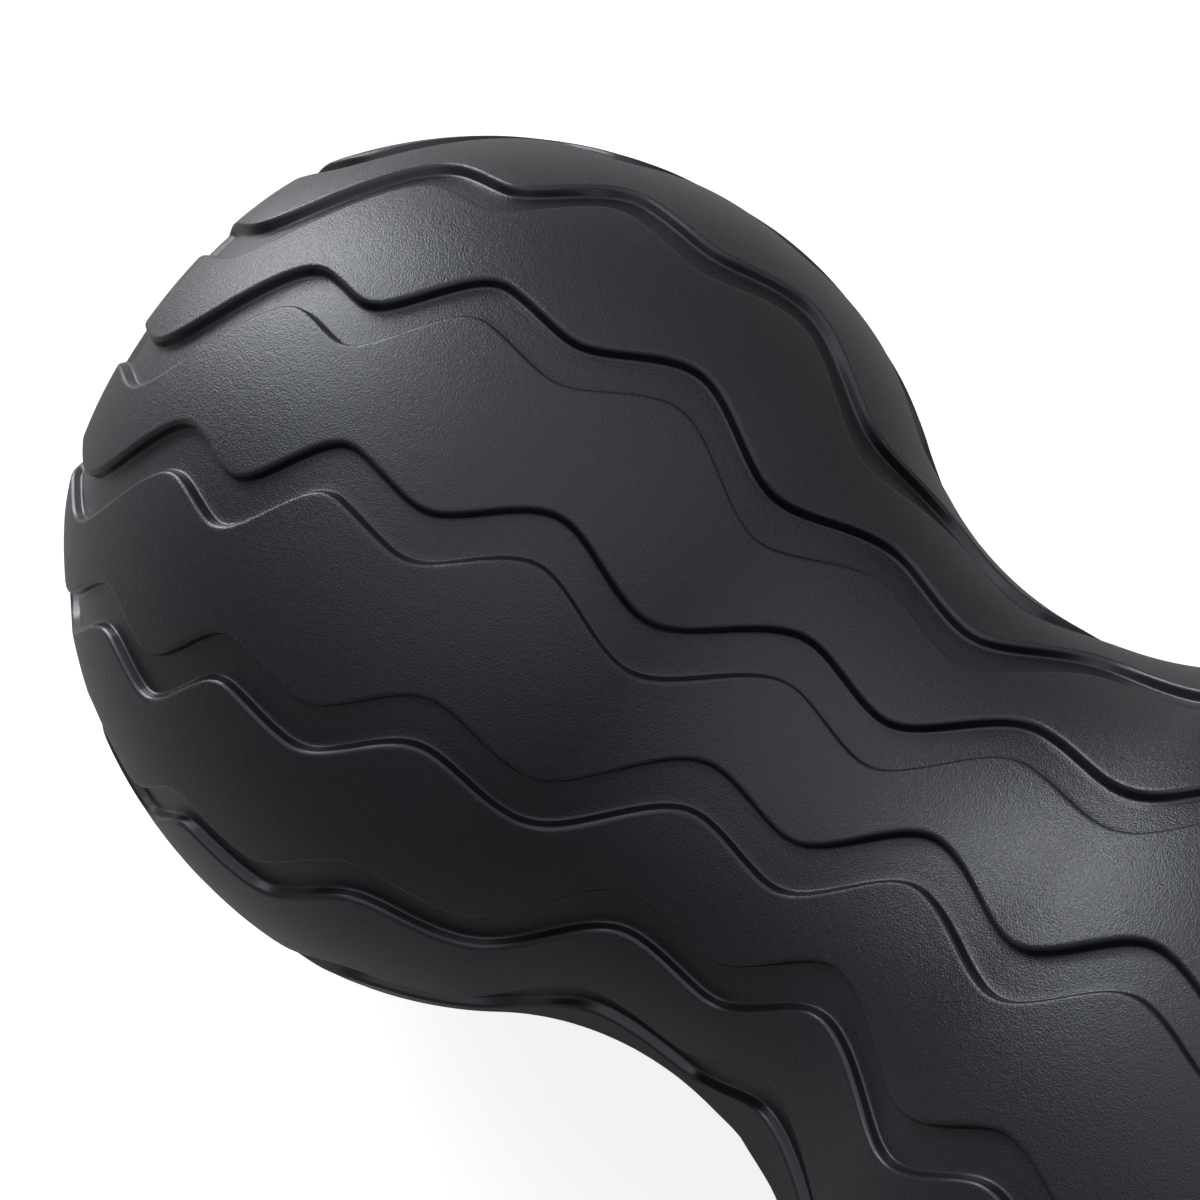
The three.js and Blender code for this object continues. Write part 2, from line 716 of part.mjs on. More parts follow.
const massageRoller = new THREE.Group()
const motor = new THREE.Group()
motor.position.set(-motorPlace, 0, -motorDrop)
const battery = new THREE.Group()
battery.position.set(batteryPlace, 0, -batteryDrop)
const controls = new THREE.Group()
massageRoller.add(motor, battery, controls)

function place (parent, name, finish, geometry, position = [0, 0, 0], rotation = [0, 0, 0]) {
  const [color, roughness, metalness] = finishes[finish]
  const mesh = new THREE.Mesh(geometry, new THREE.MeshStandardMaterial({ color, roughness, metalness }))
  mesh.name = name
  mesh.position.set(...position)
  mesh.rotation.set(...rotation)
  parent.add(mesh)
}

const quarterTurn = Math.PI / 2

// Body
const shells = coreShells()
place(massageRoller, 'silicone_skin', 'silicone', skinGeometry())
place(massageRoller, 'upper_core_shell', 'corePlastic', shells.upper)
place(massageRoller, 'lower_core_shell', 'corePlastic', shells.lower)
shellBosses.forEach(([x, y], index) => {
  const screw = screwGeometry(screwShankRadius, screwHeadRadius, screwHeadHeight, 2 * shellScrewGrip)
  place(massageRoller, `shell_screw_${index + 1}`, 'steel', screw,
    [x, y, -shellScrewGrip - seatGap], [0, -quarterTurn, 0])
})
place(massageRoller, 'plain_end_cap', 'capPlastic', geometryOf(capSolid()), [0, 0, 0], [0, 0, Math.PI])
place(massageRoller, 'plain_cap_seal', 'sealRubber', sealGeometry(), [0, 0, 0], [0, 0, Math.PI])

// Controls
place(controls, 'control_end_cap', 'capPlastic', controlCapGeometry())
place(controls, 'control_cap_seal', 'sealRubber', sealGeometry())
place(controls, 'power_button', 'buttonPlastic', buttonGeometry())
lightPlaces().forEach(([y, z], index) => {
  const pipe = rod(lightRadius, boardFront + ledHeight + seatGap, endPlane)
  place(controls, `level_light_${index + 1}`, 'lightPipe', pipe, [0, y, z])
})
place(controls, 'port_door', 'capPlastic', doorGeometry(), [doorAxis, 0, -doorDrop])
place(controls, 'charge_socket', 'steel', socketGeometry(), [0, 0, -socketDrop])
place(controls, 'socket_tongue', 'carbon', block(
  [partsBase, -tongueWidth / 2, -tongueThickness / 2],
  [pocketFloor - seatGap - tongueSetback, tongueWidth / 2, tongueThickness / 2]), [0, 0, -socketDrop])
place(controls, 'control_board', 'board', boardGeometry())
place(controls, 'tact_switch', 'blackSteel', switchGeometry())
place(controls, 'motor_driver_chip', 'carbon', block(
  [boardBack - seatGap - chipHeight, -chipSize / 2, -chipSize / 2],
  [boardBack - seatGap, chipSize / 2, chipSize / 2]), [0, 0, -chipDrop])
const boardScrewSizes = [boardScrewRadius, boardScrewHeadRadius, boardScrewHeadHeight, boardScrewGrip]
for (const side of [-1, 1]) {
  const screw = screwGeometry(...boardScrewSizes)
  place(controls, `board_screw_${side < 0 ? 1 : 2}`, 'steel', screw,
    [boardBack - seatGap, side * boardScrewSpread, 0])
}

// Motor
place(motor, 'motor_can', 'steel', canGeometry())
place(motor, 'motor_end_bell', 'carbon', ring(bearingHole, canInner - seatGap, bellInner, canHalf))
place(motor, 'magnet_1', 'magnet', magnetGeometry(), [0, 0, 0], [quarterTurn, 0, 0])
place(motor, 'magnet_2', 'magnet', magnetGeometry(), [0, 0, 0], [-quarterTurn, 0, 0])
place(motor, 'brush_1', 'carbon', brushGeometry())
place(motor, 'brush_2', 'carbon', brushGeometry(), [0, 0, 0], [Math.PI, 0, 0])
const bearing = ring(shaftHole, bearingRadius, -bearingWidth / 2, bearingWidth / 2)
place(motor, 'front_bearing', 'brass', bearing, [bearingPlace, 0, 0])
place(motor, 'rear_bearing', 'brass', bearing.clone(), [-bearingPlace, 0, 0])
const damper = ring(canRadius + seatGap, damperRadius, -damperWidth / 2, damperWidth / 2)
place(motor, 'front_damper', 'sealRubber', damper, [damperSpread, 0, 0])
place(motor, 'rear_damper', 'sealRubber', damper.clone(), [-damperSpread, 0, 0])

// Rotor
place(motor, 'motor_shaft', 'steel', rod(shaftRadius, -shaftLength / 2, shaftLength / 2))
place(motor, 'armature_core', 'blackSteel', armatureGeometry())
place(motor, 'armature_winding', 'copper', windingGeometry())
place(motor, 'commutator', 'copper', ring(shaftHole, commutatorRadius, windingFront + seatGap,
  windingFront + seatGap + commutatorLength))
for (const [end, from] of [['front', weightNear], ['rear', -weightNear - weightThickness]]) {
  const grub = post(grubRadius, shaftHole, shaftHole + grubLength, weightThickness / 2, 0)
  place(motor, `${end}_weight`, 'brass', weightGeometry(), [from, 0, 0])
  place(motor, `${end}_weight_screw`, 'blackSteel', grub, [from, 0, 0])
}

// Battery
place(battery, 'cell_1', 'cellWrap', cellGeometry(), [0, -cellSpacing / 2, 0])
place(battery, 'cell_2', 'cellWrap', cellGeometry(), [0, cellSpacing / 2, 0], [0, 0, Math.PI])
place(battery, 'cell_carrier', 'corePlastic', carrierGeometry())
place(battery, 'cell_link_strip', 'nickel', block(
  [-stripBack - stripThickness, -(cellSpacing + stripWidth) / 2, stripLift],
  [-stripBack, (cellSpacing + stripWidth) / 2, stripLift + stripHeight]))
const endStrip = block([stripBack, -stripWidth / 2, stripLift],
  [stripBack + stripThickness, stripWidth / 2, stripLift + stripHeight])
place(battery, 'positive_strip', 'nickel', endStrip, [0, -cellSpacing / 2, 0])
place(battery, 'negative_strip', 'nickel', endStrip.clone(), [0, cellSpacing / 2, 0])
const carrierScrewSeat = carrierBottom + batteryDrop + carrierEarThickness + seatGap
for (const side of [-1, 1]) {
  const screw = screwGeometry(screwShankRadius, screwHeadRadius, screwHeadHeight, carrierScrewGrip)
  place(battery, `carrier_screw_${side < 0 ? 1 : 2}`, 'steel', screw,
    [0, side * carrierEarMiddle, carrierScrewSeat], [0, quarterTurn, 0])
}

// Inner leads, from the end bell and the cell strips to the back of the board
const leadEnd = boardBack - seatGap
const bellFace = -motorPlace + canHalf + seatGap
const stripFace = batteryPlace + stripBack + stripThickness + seatGap
const motorLeadPoints = [
  [bellFace, 9, 2], [-23.7, 9, 2], [-22.5, 10.4, 4.2], [-21.4, 12.6, 7.6], [-18.6, 14, 9.9],
  [-12, 13.4, 9.7], [-3, 10, 8], [10, 6, 4], [22, 4, 0], [35, 3.5, -1.3], [55, 3.5, -1.3],
  [68, 4, -0.8], [75, 4.7, 2.6], [79, 5, 5], [leadEnd, 5, 5],
]
const batteryLeadPoints = [
  [stripFace, 9.5, -8.5], [74.4, 9.5, -8.3], [76.4, 9.2, -6.6], [78.6, 8.6, -4], [leadEnd, 8.4, -3.4],
]
for (const [side, colour] of [[1, 'red'], [-1, 'black']]) {
  const mirrored = points => points.map(([x, y, z]) => [x, side * y, z])
  place(massageRoller, `motor_lead_${colour}`, `${colour}Lead`,
    leadGeometry(mirrored(motorLeadPoints), motorLeadSteps))
  place(massageRoller, `battery_lead_${colour}`, `${colour}Lead`,
    leadGeometry(mirrored(batteryLeadPoints), batteryLeadSteps))
}

export default massageRoller
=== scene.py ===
# %% [markdown]
# # A massage roller with two lobes
#
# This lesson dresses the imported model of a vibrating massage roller. A grooved silicone skin
# covers a hard core. A round cap closes each end, and one of them holds the controls. The packed
# model is loaded first and never moved: each piece made here takes its place from it, in metres,
# with X along the roller and Z up.

import math

import bmesh
import bpy
import numpy as np
from mathutils import Matrix, Vector


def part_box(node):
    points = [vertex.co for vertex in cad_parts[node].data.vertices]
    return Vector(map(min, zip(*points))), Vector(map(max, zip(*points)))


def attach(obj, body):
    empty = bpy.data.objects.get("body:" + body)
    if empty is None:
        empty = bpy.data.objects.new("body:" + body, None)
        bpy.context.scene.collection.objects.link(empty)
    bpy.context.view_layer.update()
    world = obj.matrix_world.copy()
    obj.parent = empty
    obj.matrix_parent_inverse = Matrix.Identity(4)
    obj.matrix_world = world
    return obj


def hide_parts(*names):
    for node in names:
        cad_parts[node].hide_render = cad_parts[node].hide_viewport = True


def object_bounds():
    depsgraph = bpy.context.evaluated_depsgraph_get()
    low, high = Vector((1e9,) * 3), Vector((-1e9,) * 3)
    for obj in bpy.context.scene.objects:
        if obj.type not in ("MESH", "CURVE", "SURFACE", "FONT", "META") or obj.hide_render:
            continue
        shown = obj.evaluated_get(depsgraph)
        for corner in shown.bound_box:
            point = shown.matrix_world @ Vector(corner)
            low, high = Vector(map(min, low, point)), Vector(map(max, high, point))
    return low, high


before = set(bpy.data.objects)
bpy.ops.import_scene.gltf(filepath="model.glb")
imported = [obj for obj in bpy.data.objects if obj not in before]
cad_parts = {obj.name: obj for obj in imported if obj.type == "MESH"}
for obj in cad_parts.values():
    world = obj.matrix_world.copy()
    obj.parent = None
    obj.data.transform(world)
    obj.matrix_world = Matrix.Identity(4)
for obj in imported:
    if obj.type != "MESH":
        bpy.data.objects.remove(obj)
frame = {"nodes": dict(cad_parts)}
nodes = frame["nodes"]
cad_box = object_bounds()
print("CAD nodes", len(nodes), "box", [tuple(round(v, 4) for v in corner) for corner in cad_box])

# %% [markdown]
# ## Sizes
#
# A maker draws the roller in millimetres, and Blender works in metres, so each size below is a
# number of millimetres times MM. The length and the caps are read from the frame, so they follow
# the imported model. The lobes are 96 mm across, and the waist, the arcs and the bands were measured
# on the photograph against them. Only the wave's first two turning points were placed once more
# after packing, so the skin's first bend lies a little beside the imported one.

# %% Sizes
MM = 0.001
HALF = cad_box[1].x
LOBE_RADIUS = 48 * MM
WAIST_RADIUS = 31.7 * MM
LOBE_PLACE = HALF - 41.5 * MM
INNER_ARC = 46.5 * MM
END_RADIUS = 29.25 * MM
CORNER_RADIUS = 6 * MM
SKIN_WALL = 6 * MM
FIT_GAP = 0.3 * MM
CAP_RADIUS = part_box("plain_end_cap")[1].y
OPENING_RADIUS = CAP_RADIUS + FIT_GAP

BANDS = 13
PITCH = 2 * math.pi / BANDS
START_TURN = math.radians(124)
CHANNEL_WIDTH = 4.8 * MM
CHANNEL_DEPTH = 1.3 * MM
EDGE_LEAD = 1.3 * MM
BEND_ROUNDING = 0.9 * MM
FADE_START_SHARE = 0.4
CREST_RADIUS = 0.5 * MM
FOOT_RADIUS = 0.4 * MM
WALL_SLOPE = math.radians(80)
# Turning points of a band's edge: share of the half length, and turn in band pitches
WAVE_TURN_SHARES = [
    (-1, -0.7), (-0.955, -0.745), (-0.798, 0.112), (-0.714, 0.05), (-0.61, 0.498),
    (-0.505, 0.455), (-0.374, 0.81), (-0.258, 0.69), (-0.116, 1.297), (-0.012, 1.19),
    (0.115, 1.762), (0.253, 1.513), (0.374, 1.871), (0.505, 1.733), (0.626, 2.167),
    (0.725, 2.077), (0.824, 2.492), (0.912, 2.384), (1, 2.78),
]
print("half length", round(HALF / MM, 2), "mm, band pitch", round(math.degrees(PITCH), 2), "degrees")

# %% [markdown]
# ## The camera
#
# The photograph looks down on the roller from its right front, with a long lens. Such a camera
# could be placed by eye, but its angle, place and lens were solved from the outline and the band
# edges, which is surer. It stays level and unshifted, so other views can turn it round the roller.

# %% Camera
CAMERA_PLACE = Vector((57.7, -111.8, 293.0)) * MM
CAMERA_AZIMUTH = math.radians(40.47)
CAMERA_ELEVATION = math.radians(62.55)
CAMERA_NEAR = 10 * MM
SENSOR = 36
LENS = 89.07


def new_piece(name, data):
    """Puts a mesh, a camera or a light into the scene, at the origin."""
    piece = bpy.data.objects.new(name, data)
    bpy.context.scene.collection.objects.link(piece)
    return piece


camera_data = bpy.data.cameras.new("camera")
camera_data.sensor_width = SENSOR
camera_data.lens = LENS
camera_data.clip_start = CAMERA_NEAR
camera = new_piece("camera", camera_data)
camera.location = CAMERA_PLACE
camera.rotation_euler = (math.pi / 2 - CAMERA_ELEVATION, 0, CAMERA_AZIMUTH)
bpy.context.scene.camera = camera
print("camera", tuple(round(v, 3) for v in camera.location), "lens", LENS)

# %% [markdown]
# ## Writing node trees as sums
#
# Materials and Geometry Nodes are both trees of nodes, and most of their nodes are arithmetic.
# A Wire wraps one output, and Python's operators on it add the Math nodes, so a formula reads as
# a formula. Every other node comes from Tree.add.

# %% Wire and Tree
def operator(kind):
    """The two methods of an operator: with the Wire on its left, and on its right."""
    return (
        lambda self, other: self.tree.math(kind, self, other),
        lambda self, other: self.tree.math(kind, other, self))


class Wire:
    """One output in a node tree, with arithmetic."""

    __add__, __radd__ = operator("ADD")
    __sub__, __rsub__ = operator("SUBTRACT")
    __mul__, __rmul__ = operator("MULTIPLY")
    __truediv__, __rtruediv__ = operator("DIVIDE")

    def __init__(self, tree, socket):
        self.tree = tree
        self.socket = socket

    def output(self, name):
        return Wire(self.tree, self.socket.node.outputs[name])


class Tree:
    """Adds nodes to a shader or geometry node tree."""

    def __init__(self, nodes):
        self.nodes = nodes

    def add(self, kind, settings=(), sockets=(), output=0):
        node = self.nodes.nodes.new(kind)
        for name, value in dict(settings).items():
            if name == "stops":
                self.set_stops(node.color_ramp.elements, value)
            else:
                setattr(node, name, value)
        for name, value in dict(sockets).items():
            self.feed(node.inputs[name], value)
        return Wire(self, node.outputs[output]) if node.outputs else node

    def set_stops(self, elements, stops):
        """Stops of a colour ramp: place and grey value."""
        while len(elements) < len(stops):
            elements.new(0.5)
        for element, (place, value) in zip(elements, stops):
            element.position = place
            element.color = (value, value, value, 1)

    def feed(self, socket, value):
        if isinstance(value, Wire):
            self.nodes.links.new(value.socket, socket)
        else:
            socket.default_value = value

    def math(self, operation, *values):
        return self.add("ShaderNodeMath", {"operation": operation}, dict(enumerate(values)))

    def climb(self, value, start, end, height=1, course="SMOOTHSTEP"):
        """Climbs from 0 to a height while a value goes from start to end."""
        return self.add("ShaderNodeMapRange", {"interpolation_type": course}, {
            "Value": value, "From Min": start, "From Max": end, "To Min": 0, "To Max": height})


print("node helpers ready")

# %% [markdown]
# ## Running a geometry tree once
#
# A Geometry Nodes tree can stay live on its object, which helps while a shape is being found. Here
# each one runs once: its named inputs are set on the modifier, the result is copied into a plain
# mesh, and the modifier goes away. The finished piece then has its place in its mesh and its
# object at the origin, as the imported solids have.

# %% Geometry tree helpers
SOCKET_KINDS = {
    "number": "NodeSocketFloat", "count": "NodeSocketInt", "object": "NodeSocketObject",
    "material": "NodeSocketMaterial",
}


def geometry_tree(name, **inputs):
    """A new geometry tree with named inputs, and a Wire for each of them."""
    group = bpy.data.node_groups.new(name, "GeometryNodeTree")
    group.interface.new_socket("geometry", in_out="INPUT", socket_type="NodeSocketGeometry")
    group.interface.new_socket("geometry", in_out="OUTPUT", socket_type="NodeSocketGeometry")
    for label, kind in inputs.items():
        group.interface.new_socket(label, in_out="INPUT", socket_type=SOCKET_KINDS[kind])
    tree = Tree(group)
    source = tree.add("NodeGroupInput")
    return tree, {label: source.output(label) for label in ("geometry", *inputs)}


def plain_mesh(piece):
    """Replaces a piece's mesh by its evaluated one, without its modifiers."""
    evaluated = piece.evaluated_get(bpy.context.evaluated_depsgraph_get())
    mesh = bpy.data.meshes.new_from_object(evaluated)
    piece.modifiers.clear()
    piece.data = mesh
    mesh.name = piece.name
    return piece


def run_tree(piece, tree, **values):
    """Feeds a tree's named inputs, runs it on a piece and keeps the plain result."""
    modifier = piece.modifiers.new(tree.nodes.name, "NODES")
    modifier.node_group = tree.nodes
    for item in tree.nodes.interface.items_tree:
        if item.in_out == "INPUT" and item.name in values:
            modifier[item.identifier] = values[item.name]
    return plain_mesh(piece)


def chain(name, points, **attributes):
    """A mesh of points joined in a line, with values on its points."""
    mesh = bpy.data.meshes.new(name)
    mesh.from_pydata(points, [(i, i + 1) for i in range(len(points) - 1)], [])
    for label, values in attributes.items():
        flat = np.array(values, np.float32)
        kind = "FLOAT_VECTOR" if flat.ndim == 2 else "FLOAT"
        layer = mesh.attributes.new(label, kind, "POINT")
        layer.data.foreach_set("vector" if flat.ndim == 2 else "value", flat.ravel())
    return new_piece(name, mesh)


print("geometry helpers ready")

# %% [markdown]
# ## Silicone
#
# The skin is one moulding in near-black cool grey silicone. Close up it has a fine sandy grain
# that sparkles where the light grazes it and hardly shows in the shade. A picture of grain would
# need seams and unwrapping, so three noises and a layer of fine pebbles make it as a bump, and the
# colour and roughness drift a little, as on held rubber. Part of the sparkle is painted: the
# brightest grains get a lighter colour as painted glints. The walls of the grooves come smooth from
# the mould, so the skin carries a value, wall_share, that fades the grain out on them.

# %% Material helpers and silicone
def new_material(name, **constants):
    """A material with its constant values on its own Principled shader."""
    material = bpy.data.materials.new(name)
    material.use_nodes = True
    tree = Tree(material.node_tree)
    shader = material.node_tree.nodes["Principled BSDF"]
    for label, value in constants.items():
        shader.inputs[label.replace("_", " ").title().replace("Ior", "IOR")].default_value = value
    place = tree.add("ShaderNodeTexCoord").output("Object")
    return material, tree, shader, place


def noise(tree, place, size, detail=2):
    """Soft noise whose features are about one size across, from 0 to 1."""
    return tree.add("ShaderNodeTexNoise", {}, {"Vector": place, "Scale": 1 / size, "Detail": detail})


def shades(tree, factor, dark, light):
    """A colour between two shades."""
    mix = tree.add("ShaderNodeMix", {"data_type": "RGBA"}, {"Factor": factor})
    for index, colour in ((6, dark), (7, light)):
        mix.socket.node.inputs[index].default_value = (*colour, 1)
    return Wire(tree, mix.socket.node.outputs[2])


def bumped(tree, shader, height, distance):
    """Shades a surface as if a height of 1 stood out of it by a distance."""
    normal = tree.add("ShaderNodeBump", {}, {"Height": height, "Distance": distance})
    tree.feed(shader.inputs["Normal"], normal)


# Sizes of the grain's layers, of the drift in gloss and shade, and the height of the bump
SAND = 0.11 * MM
PEBBLE = 0.19 * MM
SWELL = 0.8 * MM
HANDLING = 25 * MM
GRAIN_RELIEF = 0.06 * MM
# Dark and light shade of the silicone; the light one colours the grain and also the painted glints
SILICONE_DARK = (0.0060, 0.0066, 0.0080)
SILICONE_LIGHT_AND_GLINT = (0.0840, 0.0910, 0.1060)


def silicone_material():
    """Near-black silicone, grainy on the bands and floors and smooth on the walls, with painted glints on its
    brightest grains.
    """
    material, tree, shader, place = new_material(
        "silicone skin", ior=1.41, specular_ior_level=0.65, specular_tint=(0.86, 0.9, 1, 1))
    wall = tree.add("ShaderNodeAttribute", {"attribute_name": "wall_share"}).output("Fac")
    open_share = 1 - wall
    sand = noise(tree, place, SAND, 1)
    pebbles = tree.add("ShaderNodeTexVoronoi", {"feature": "F1"}, {"Vector": place, "Scale": 1 / PEBBLE})
    grain = 0.5 * noise(tree, place, PEBBLE) + 0.5 * (1 - pebbles)
    swell = noise(tree, place, SWELL, 1)
    drift = noise(tree, place, HANDLING)

    # The brightest grains are painted glints: specks whose lighter base colour stands in for sparkle, and
    # which are also a little glossier
    painted_glint_specks = tree.climb(sand, 0.60, 0.72)
    tone = 0.06 + 0.05 * drift + open_share * (0.16 * (grain - 0.5) + 0.45 * painted_glint_specks)
    tree.feed(shader.inputs["Base Color"], shades(tree, tone, SILICONE_DARK, SILICONE_LIGHT_AND_GLINT))
    grain_gloss = open_share * (0.12 * (grain - 0.5) - 0.05 * painted_glint_specks)
    tree.feed(shader.inputs["Roughness"], 0.34 + 0.05 * drift + grain_gloss - 0.08 * wall)
    height = (grain + 0.5 * swell + 0.3 * sand) * (0.05 + 0.95 * open_share)
    bumped(tree, shader, height, GRAIN_RELIEF)
    return material


silicone = silicone_material()
print("material", silicone.name)

# %% [markdown]
# ## The outline of the skin
#
# The body is a turned shape: two lobes that meet in a soft waist, a rounded corner, and a flat
# ring round the opening of each cap. Inside, the lining keeps one wall's distance. A lathe-like
# spin would do for a smooth body, but this one gets grooves, so it stays one closed line of points
# for the skin's tree, each with the way it faces and the share of the channel depth there.

# %% Profile of the skin
end_run = HALF - LOBE_PLACE
end_fall = LOBE_RADIUS - END_RADIUS
OUTER_ARC = (end_run ** 2 + end_fall ** 2) / (2 * end_fall)
waist_rise = WAIST_RADIUS + INNER_ARC - LOBE_RADIUS
WAIST_ARC = (LOBE_PLACE ** 2 + waist_rise ** 2 - INNER_ARC ** 2) / (2 * (LOBE_RADIUS - WAIST_RADIUS))
waist_end = LOBE_PLACE * WAIST_ARC / (INNER_ARC + WAIST_ARC)
corner_middle = HALF - CORNER_RADIUS
corner_reach = OUTER_ARC - CORNER_RADIUS
CORNER_ANGLE = math.acos((corner_middle - LOBE_PLACE) / corner_reach)
corner_height = corner_reach * math.sin(CORNER_ANGLE) - (OUTER_ARC - LOBE_RADIUS)


def body_radius(along):
    """Radius over the bands at a place along X."""
    along = abs(along)
    if along < waist_end:
        return WAIST_RADIUS + WAIST_ARC - math.sqrt(WAIST_ARC ** 2 - along ** 2)
    arc = INNER_ARC if along < LOBE_PLACE else OUTER_ARC
    return math.sqrt(arc ** 2 - (along - LOBE_PLACE) ** 2) - (arc - LOBE_RADIUS)


def facing(along):
    """Unit vector that the body's outside faces at a place, in X and radius."""
    step = 0.01 * MM
    slope = (body_radius(along + step) - body_radius(along - step)) / (2 * step)
    return Vector((-slope, 0, 1)).normalized()


ROW_SPACING = 0.8 * MM
CORNER_STEPS = 12


def outside_half():
    """Points from the waist to the +X corner: place, facing, share of the channel depth."""
    corner_start = corner_middle + CORNER_RADIUS * math.cos(CORNER_ANGLE)
    points = []
    along = 0
    while along < corner_start - ROW_SPACING / 2:
        points.append(((along, 0, body_radius(along)), facing(along), 1))
        along += ROW_SPACING * facing(along).z
    for step in range(CORNER_STEPS + 1):
        share = step / CORNER_STEPS
        fade = max(0, (share - FADE_START_SHARE) / (1 - FADE_START_SHARE))
        angle = CORNER_ANGLE * (1 - share)
        way = Vector((math.cos(angle), 0, math.sin(angle)))
        place = Vector((corner_middle, 0, corner_height)) + CORNER_RADIUS * way
        points.append((place, way, 1 - fade ** 2 * (3 - 2 * fade)))
    return points


def mirrored(points):
    """The same points for the -X half, in the order that carries the line on."""
    flip = Vector((-1, 1, 1))
    return [(Vector(place) * flip, Vector(way) * flip, share) for place, way, share in reversed(points)]


LIP = 0.4 * MM
LIP_BULGE = LIP * 0.3
LINING_SHARES = (1, 0.9, 0.78, 0.66, 0.54, 0.4, 0.27, 0.13, 0)


def skin_profile():
    """The closed outline: outside, ring, opening and lining of +X, then the same of -X."""
    inner_end = HALF - SKIN_WALL
    ring = [
        ((HALF, 0, OPENING_RADIUS + LIP), (1, 0, 0), 0),
        ((HALF - LIP_BULGE, 0, OPENING_RADIUS + LIP_BULGE), (0.7, 0, -0.7), 0),
        ((HALF - LIP, 0, OPENING_RADIUS), (0, 0, -1), 0),
        ((inner_end, 0, OPENING_RADIUS), (0, 0, -1), 0),
    ]
    places = [inner_end * share for share in LINING_SHARES]
    lining = [((x, 0, body_radius(x) - SKIN_WALL), (0, 0, -1), 0) for x in places]
    right = outside_half() + ring + lining
    return right + mirrored(right)[1:], len(right) - len(lining)


profile, lining_start = skin_profile()
print("profile points", len(profile), "corner angle", round(math.degrees(CORNER_ANGLE), 1))

# %% [markdown]
# ## Wavy bands
#
# Thirteen raised bands run from end to end and wave as they climb round the body, with a shallow
# channel beside each. Their edges could be drawn as curves and projected, but all of them follow
# one rule: the turn of the band at each place along X, eased from one measured turning point to
# the next. The rule is a small group of its own, so the skin's tree can ask it for each wall.

# %% The wave as a node group
def band_turn_group():
    """Share along the half length in, turn in band pitches out."""
    group = bpy.data.node_groups.new("band turn", "GeometryNodeTree")
    group.interface.new_socket("place share", in_out="INPUT", socket_type="NodeSocketFloat")
    group.interface.new_socket("turn share", in_out="OUTPUT", socket_type="NodeSocketFloat")
    tree = Tree(group)
    place = tree.add("NodeGroupInput")
    total = WAVE_TURN_SHARES[0][1]
    for (start, before), (end, after) in zip(WAVE_TURN_SHARES, WAVE_TURN_SHARES[1:]):
        total = total + tree.climb(place, start, end, after - before)
    tree.add("NodeGroupOutput", {}, {"turn share": total})
    return group


band_turn = band_turn_group()
print("turning points", len(WAVE_TURN_SHARES))

# %% [markdown]
# ## The section of a channel
#
# Cut across, a channel is a flat floor between two steep walls, with a small fillet at the top
# and bottom of each wall. The section is kept as a second line of points. Their X counts knots:
# 0 to 1 is the first wall, 1 to 2 the floor, 2 to 3 the other wall, 3 to 4 the raised band.
# Their Y is the drop, as a share of the depth.

# %% Channel section
def fillet(radius, steps):
    """Points along a fillet from level to the slope of the wall, as distance across and drop."""
    turns = [WALL_SLOPE * step / steps for step in range(steps + 1)]
    return [(radius * math.sin(turn), radius * (1 - math.cos(turn))) for turn in turns]


CREST_STEPS = 4
FOOT_STEPS = 3
FLOOR_SHARES = (0.2, 0.8)
BAND_SHARES = (0.02, 0.2, 0.4, 0.6, 0.8, 0.98)


def wall_points():
    """The wall from band to floor: share of its run, share of the depth."""
    crest, foot = fillet(CREST_RADIUS, CREST_STEPS), fillet(FOOT_RADIUS, FOOT_STEPS)
    straight = (CHANNEL_DEPTH - crest[-1][1] - foot[-1][1]) / math.tan(WALL_SLOPE)
    run = crest[-1][0] + straight + foot[-1][0]
    points = crest + [(run - across, CHANNEL_DEPTH - drop) for across, drop in reversed(foot)]
    return run, [(across / run, drop / CHANNEL_DEPTH) for across, drop in points]


def channel_section():
    """The run of a wall, and the points of wall, floor, other wall and band."""
    run, wall = wall_points()
    floor = [(share, 1) for share in FLOOR_SHARES]
    band = [(share, 0) for share in BAND_SHARES]
    other_wall = [(1 - across, drop) for across, drop in reversed(wall)]
    section = []
    for knot, part in enumerate((wall, floor, other_wall, band)):
        section += [(knot + across, drop, 0) for across, drop in part]
    return run, section + [(4, 0, 0)]


WALL_RUN, section = channel_section()
print("wall run", round(WALL_RUN / MM, 2), "mm, section points", len(section))

# %% [markdown]
# ## The skin, grown by Geometry Nodes
#
# One band and one channel make a strip: a grid whose rows are the points of the outline and whose
# columns are the points of the section. The tree bends that grid round the X axis and presses the
# channel in, then repeats it thirteen times and welds the strips. A carved body with Boolean cuts
# would leave ragged edges here, while a grid that follows the walls keeps them smooth.

# %% Skin tree
SLANT_STEP = 0.2 * MM
STRIP_WELD = 0.004 * MM
# How fast wall_share rises from both ends of a wall: an eighth of the depth in, it is nearly 1
WALL_FADE = 9


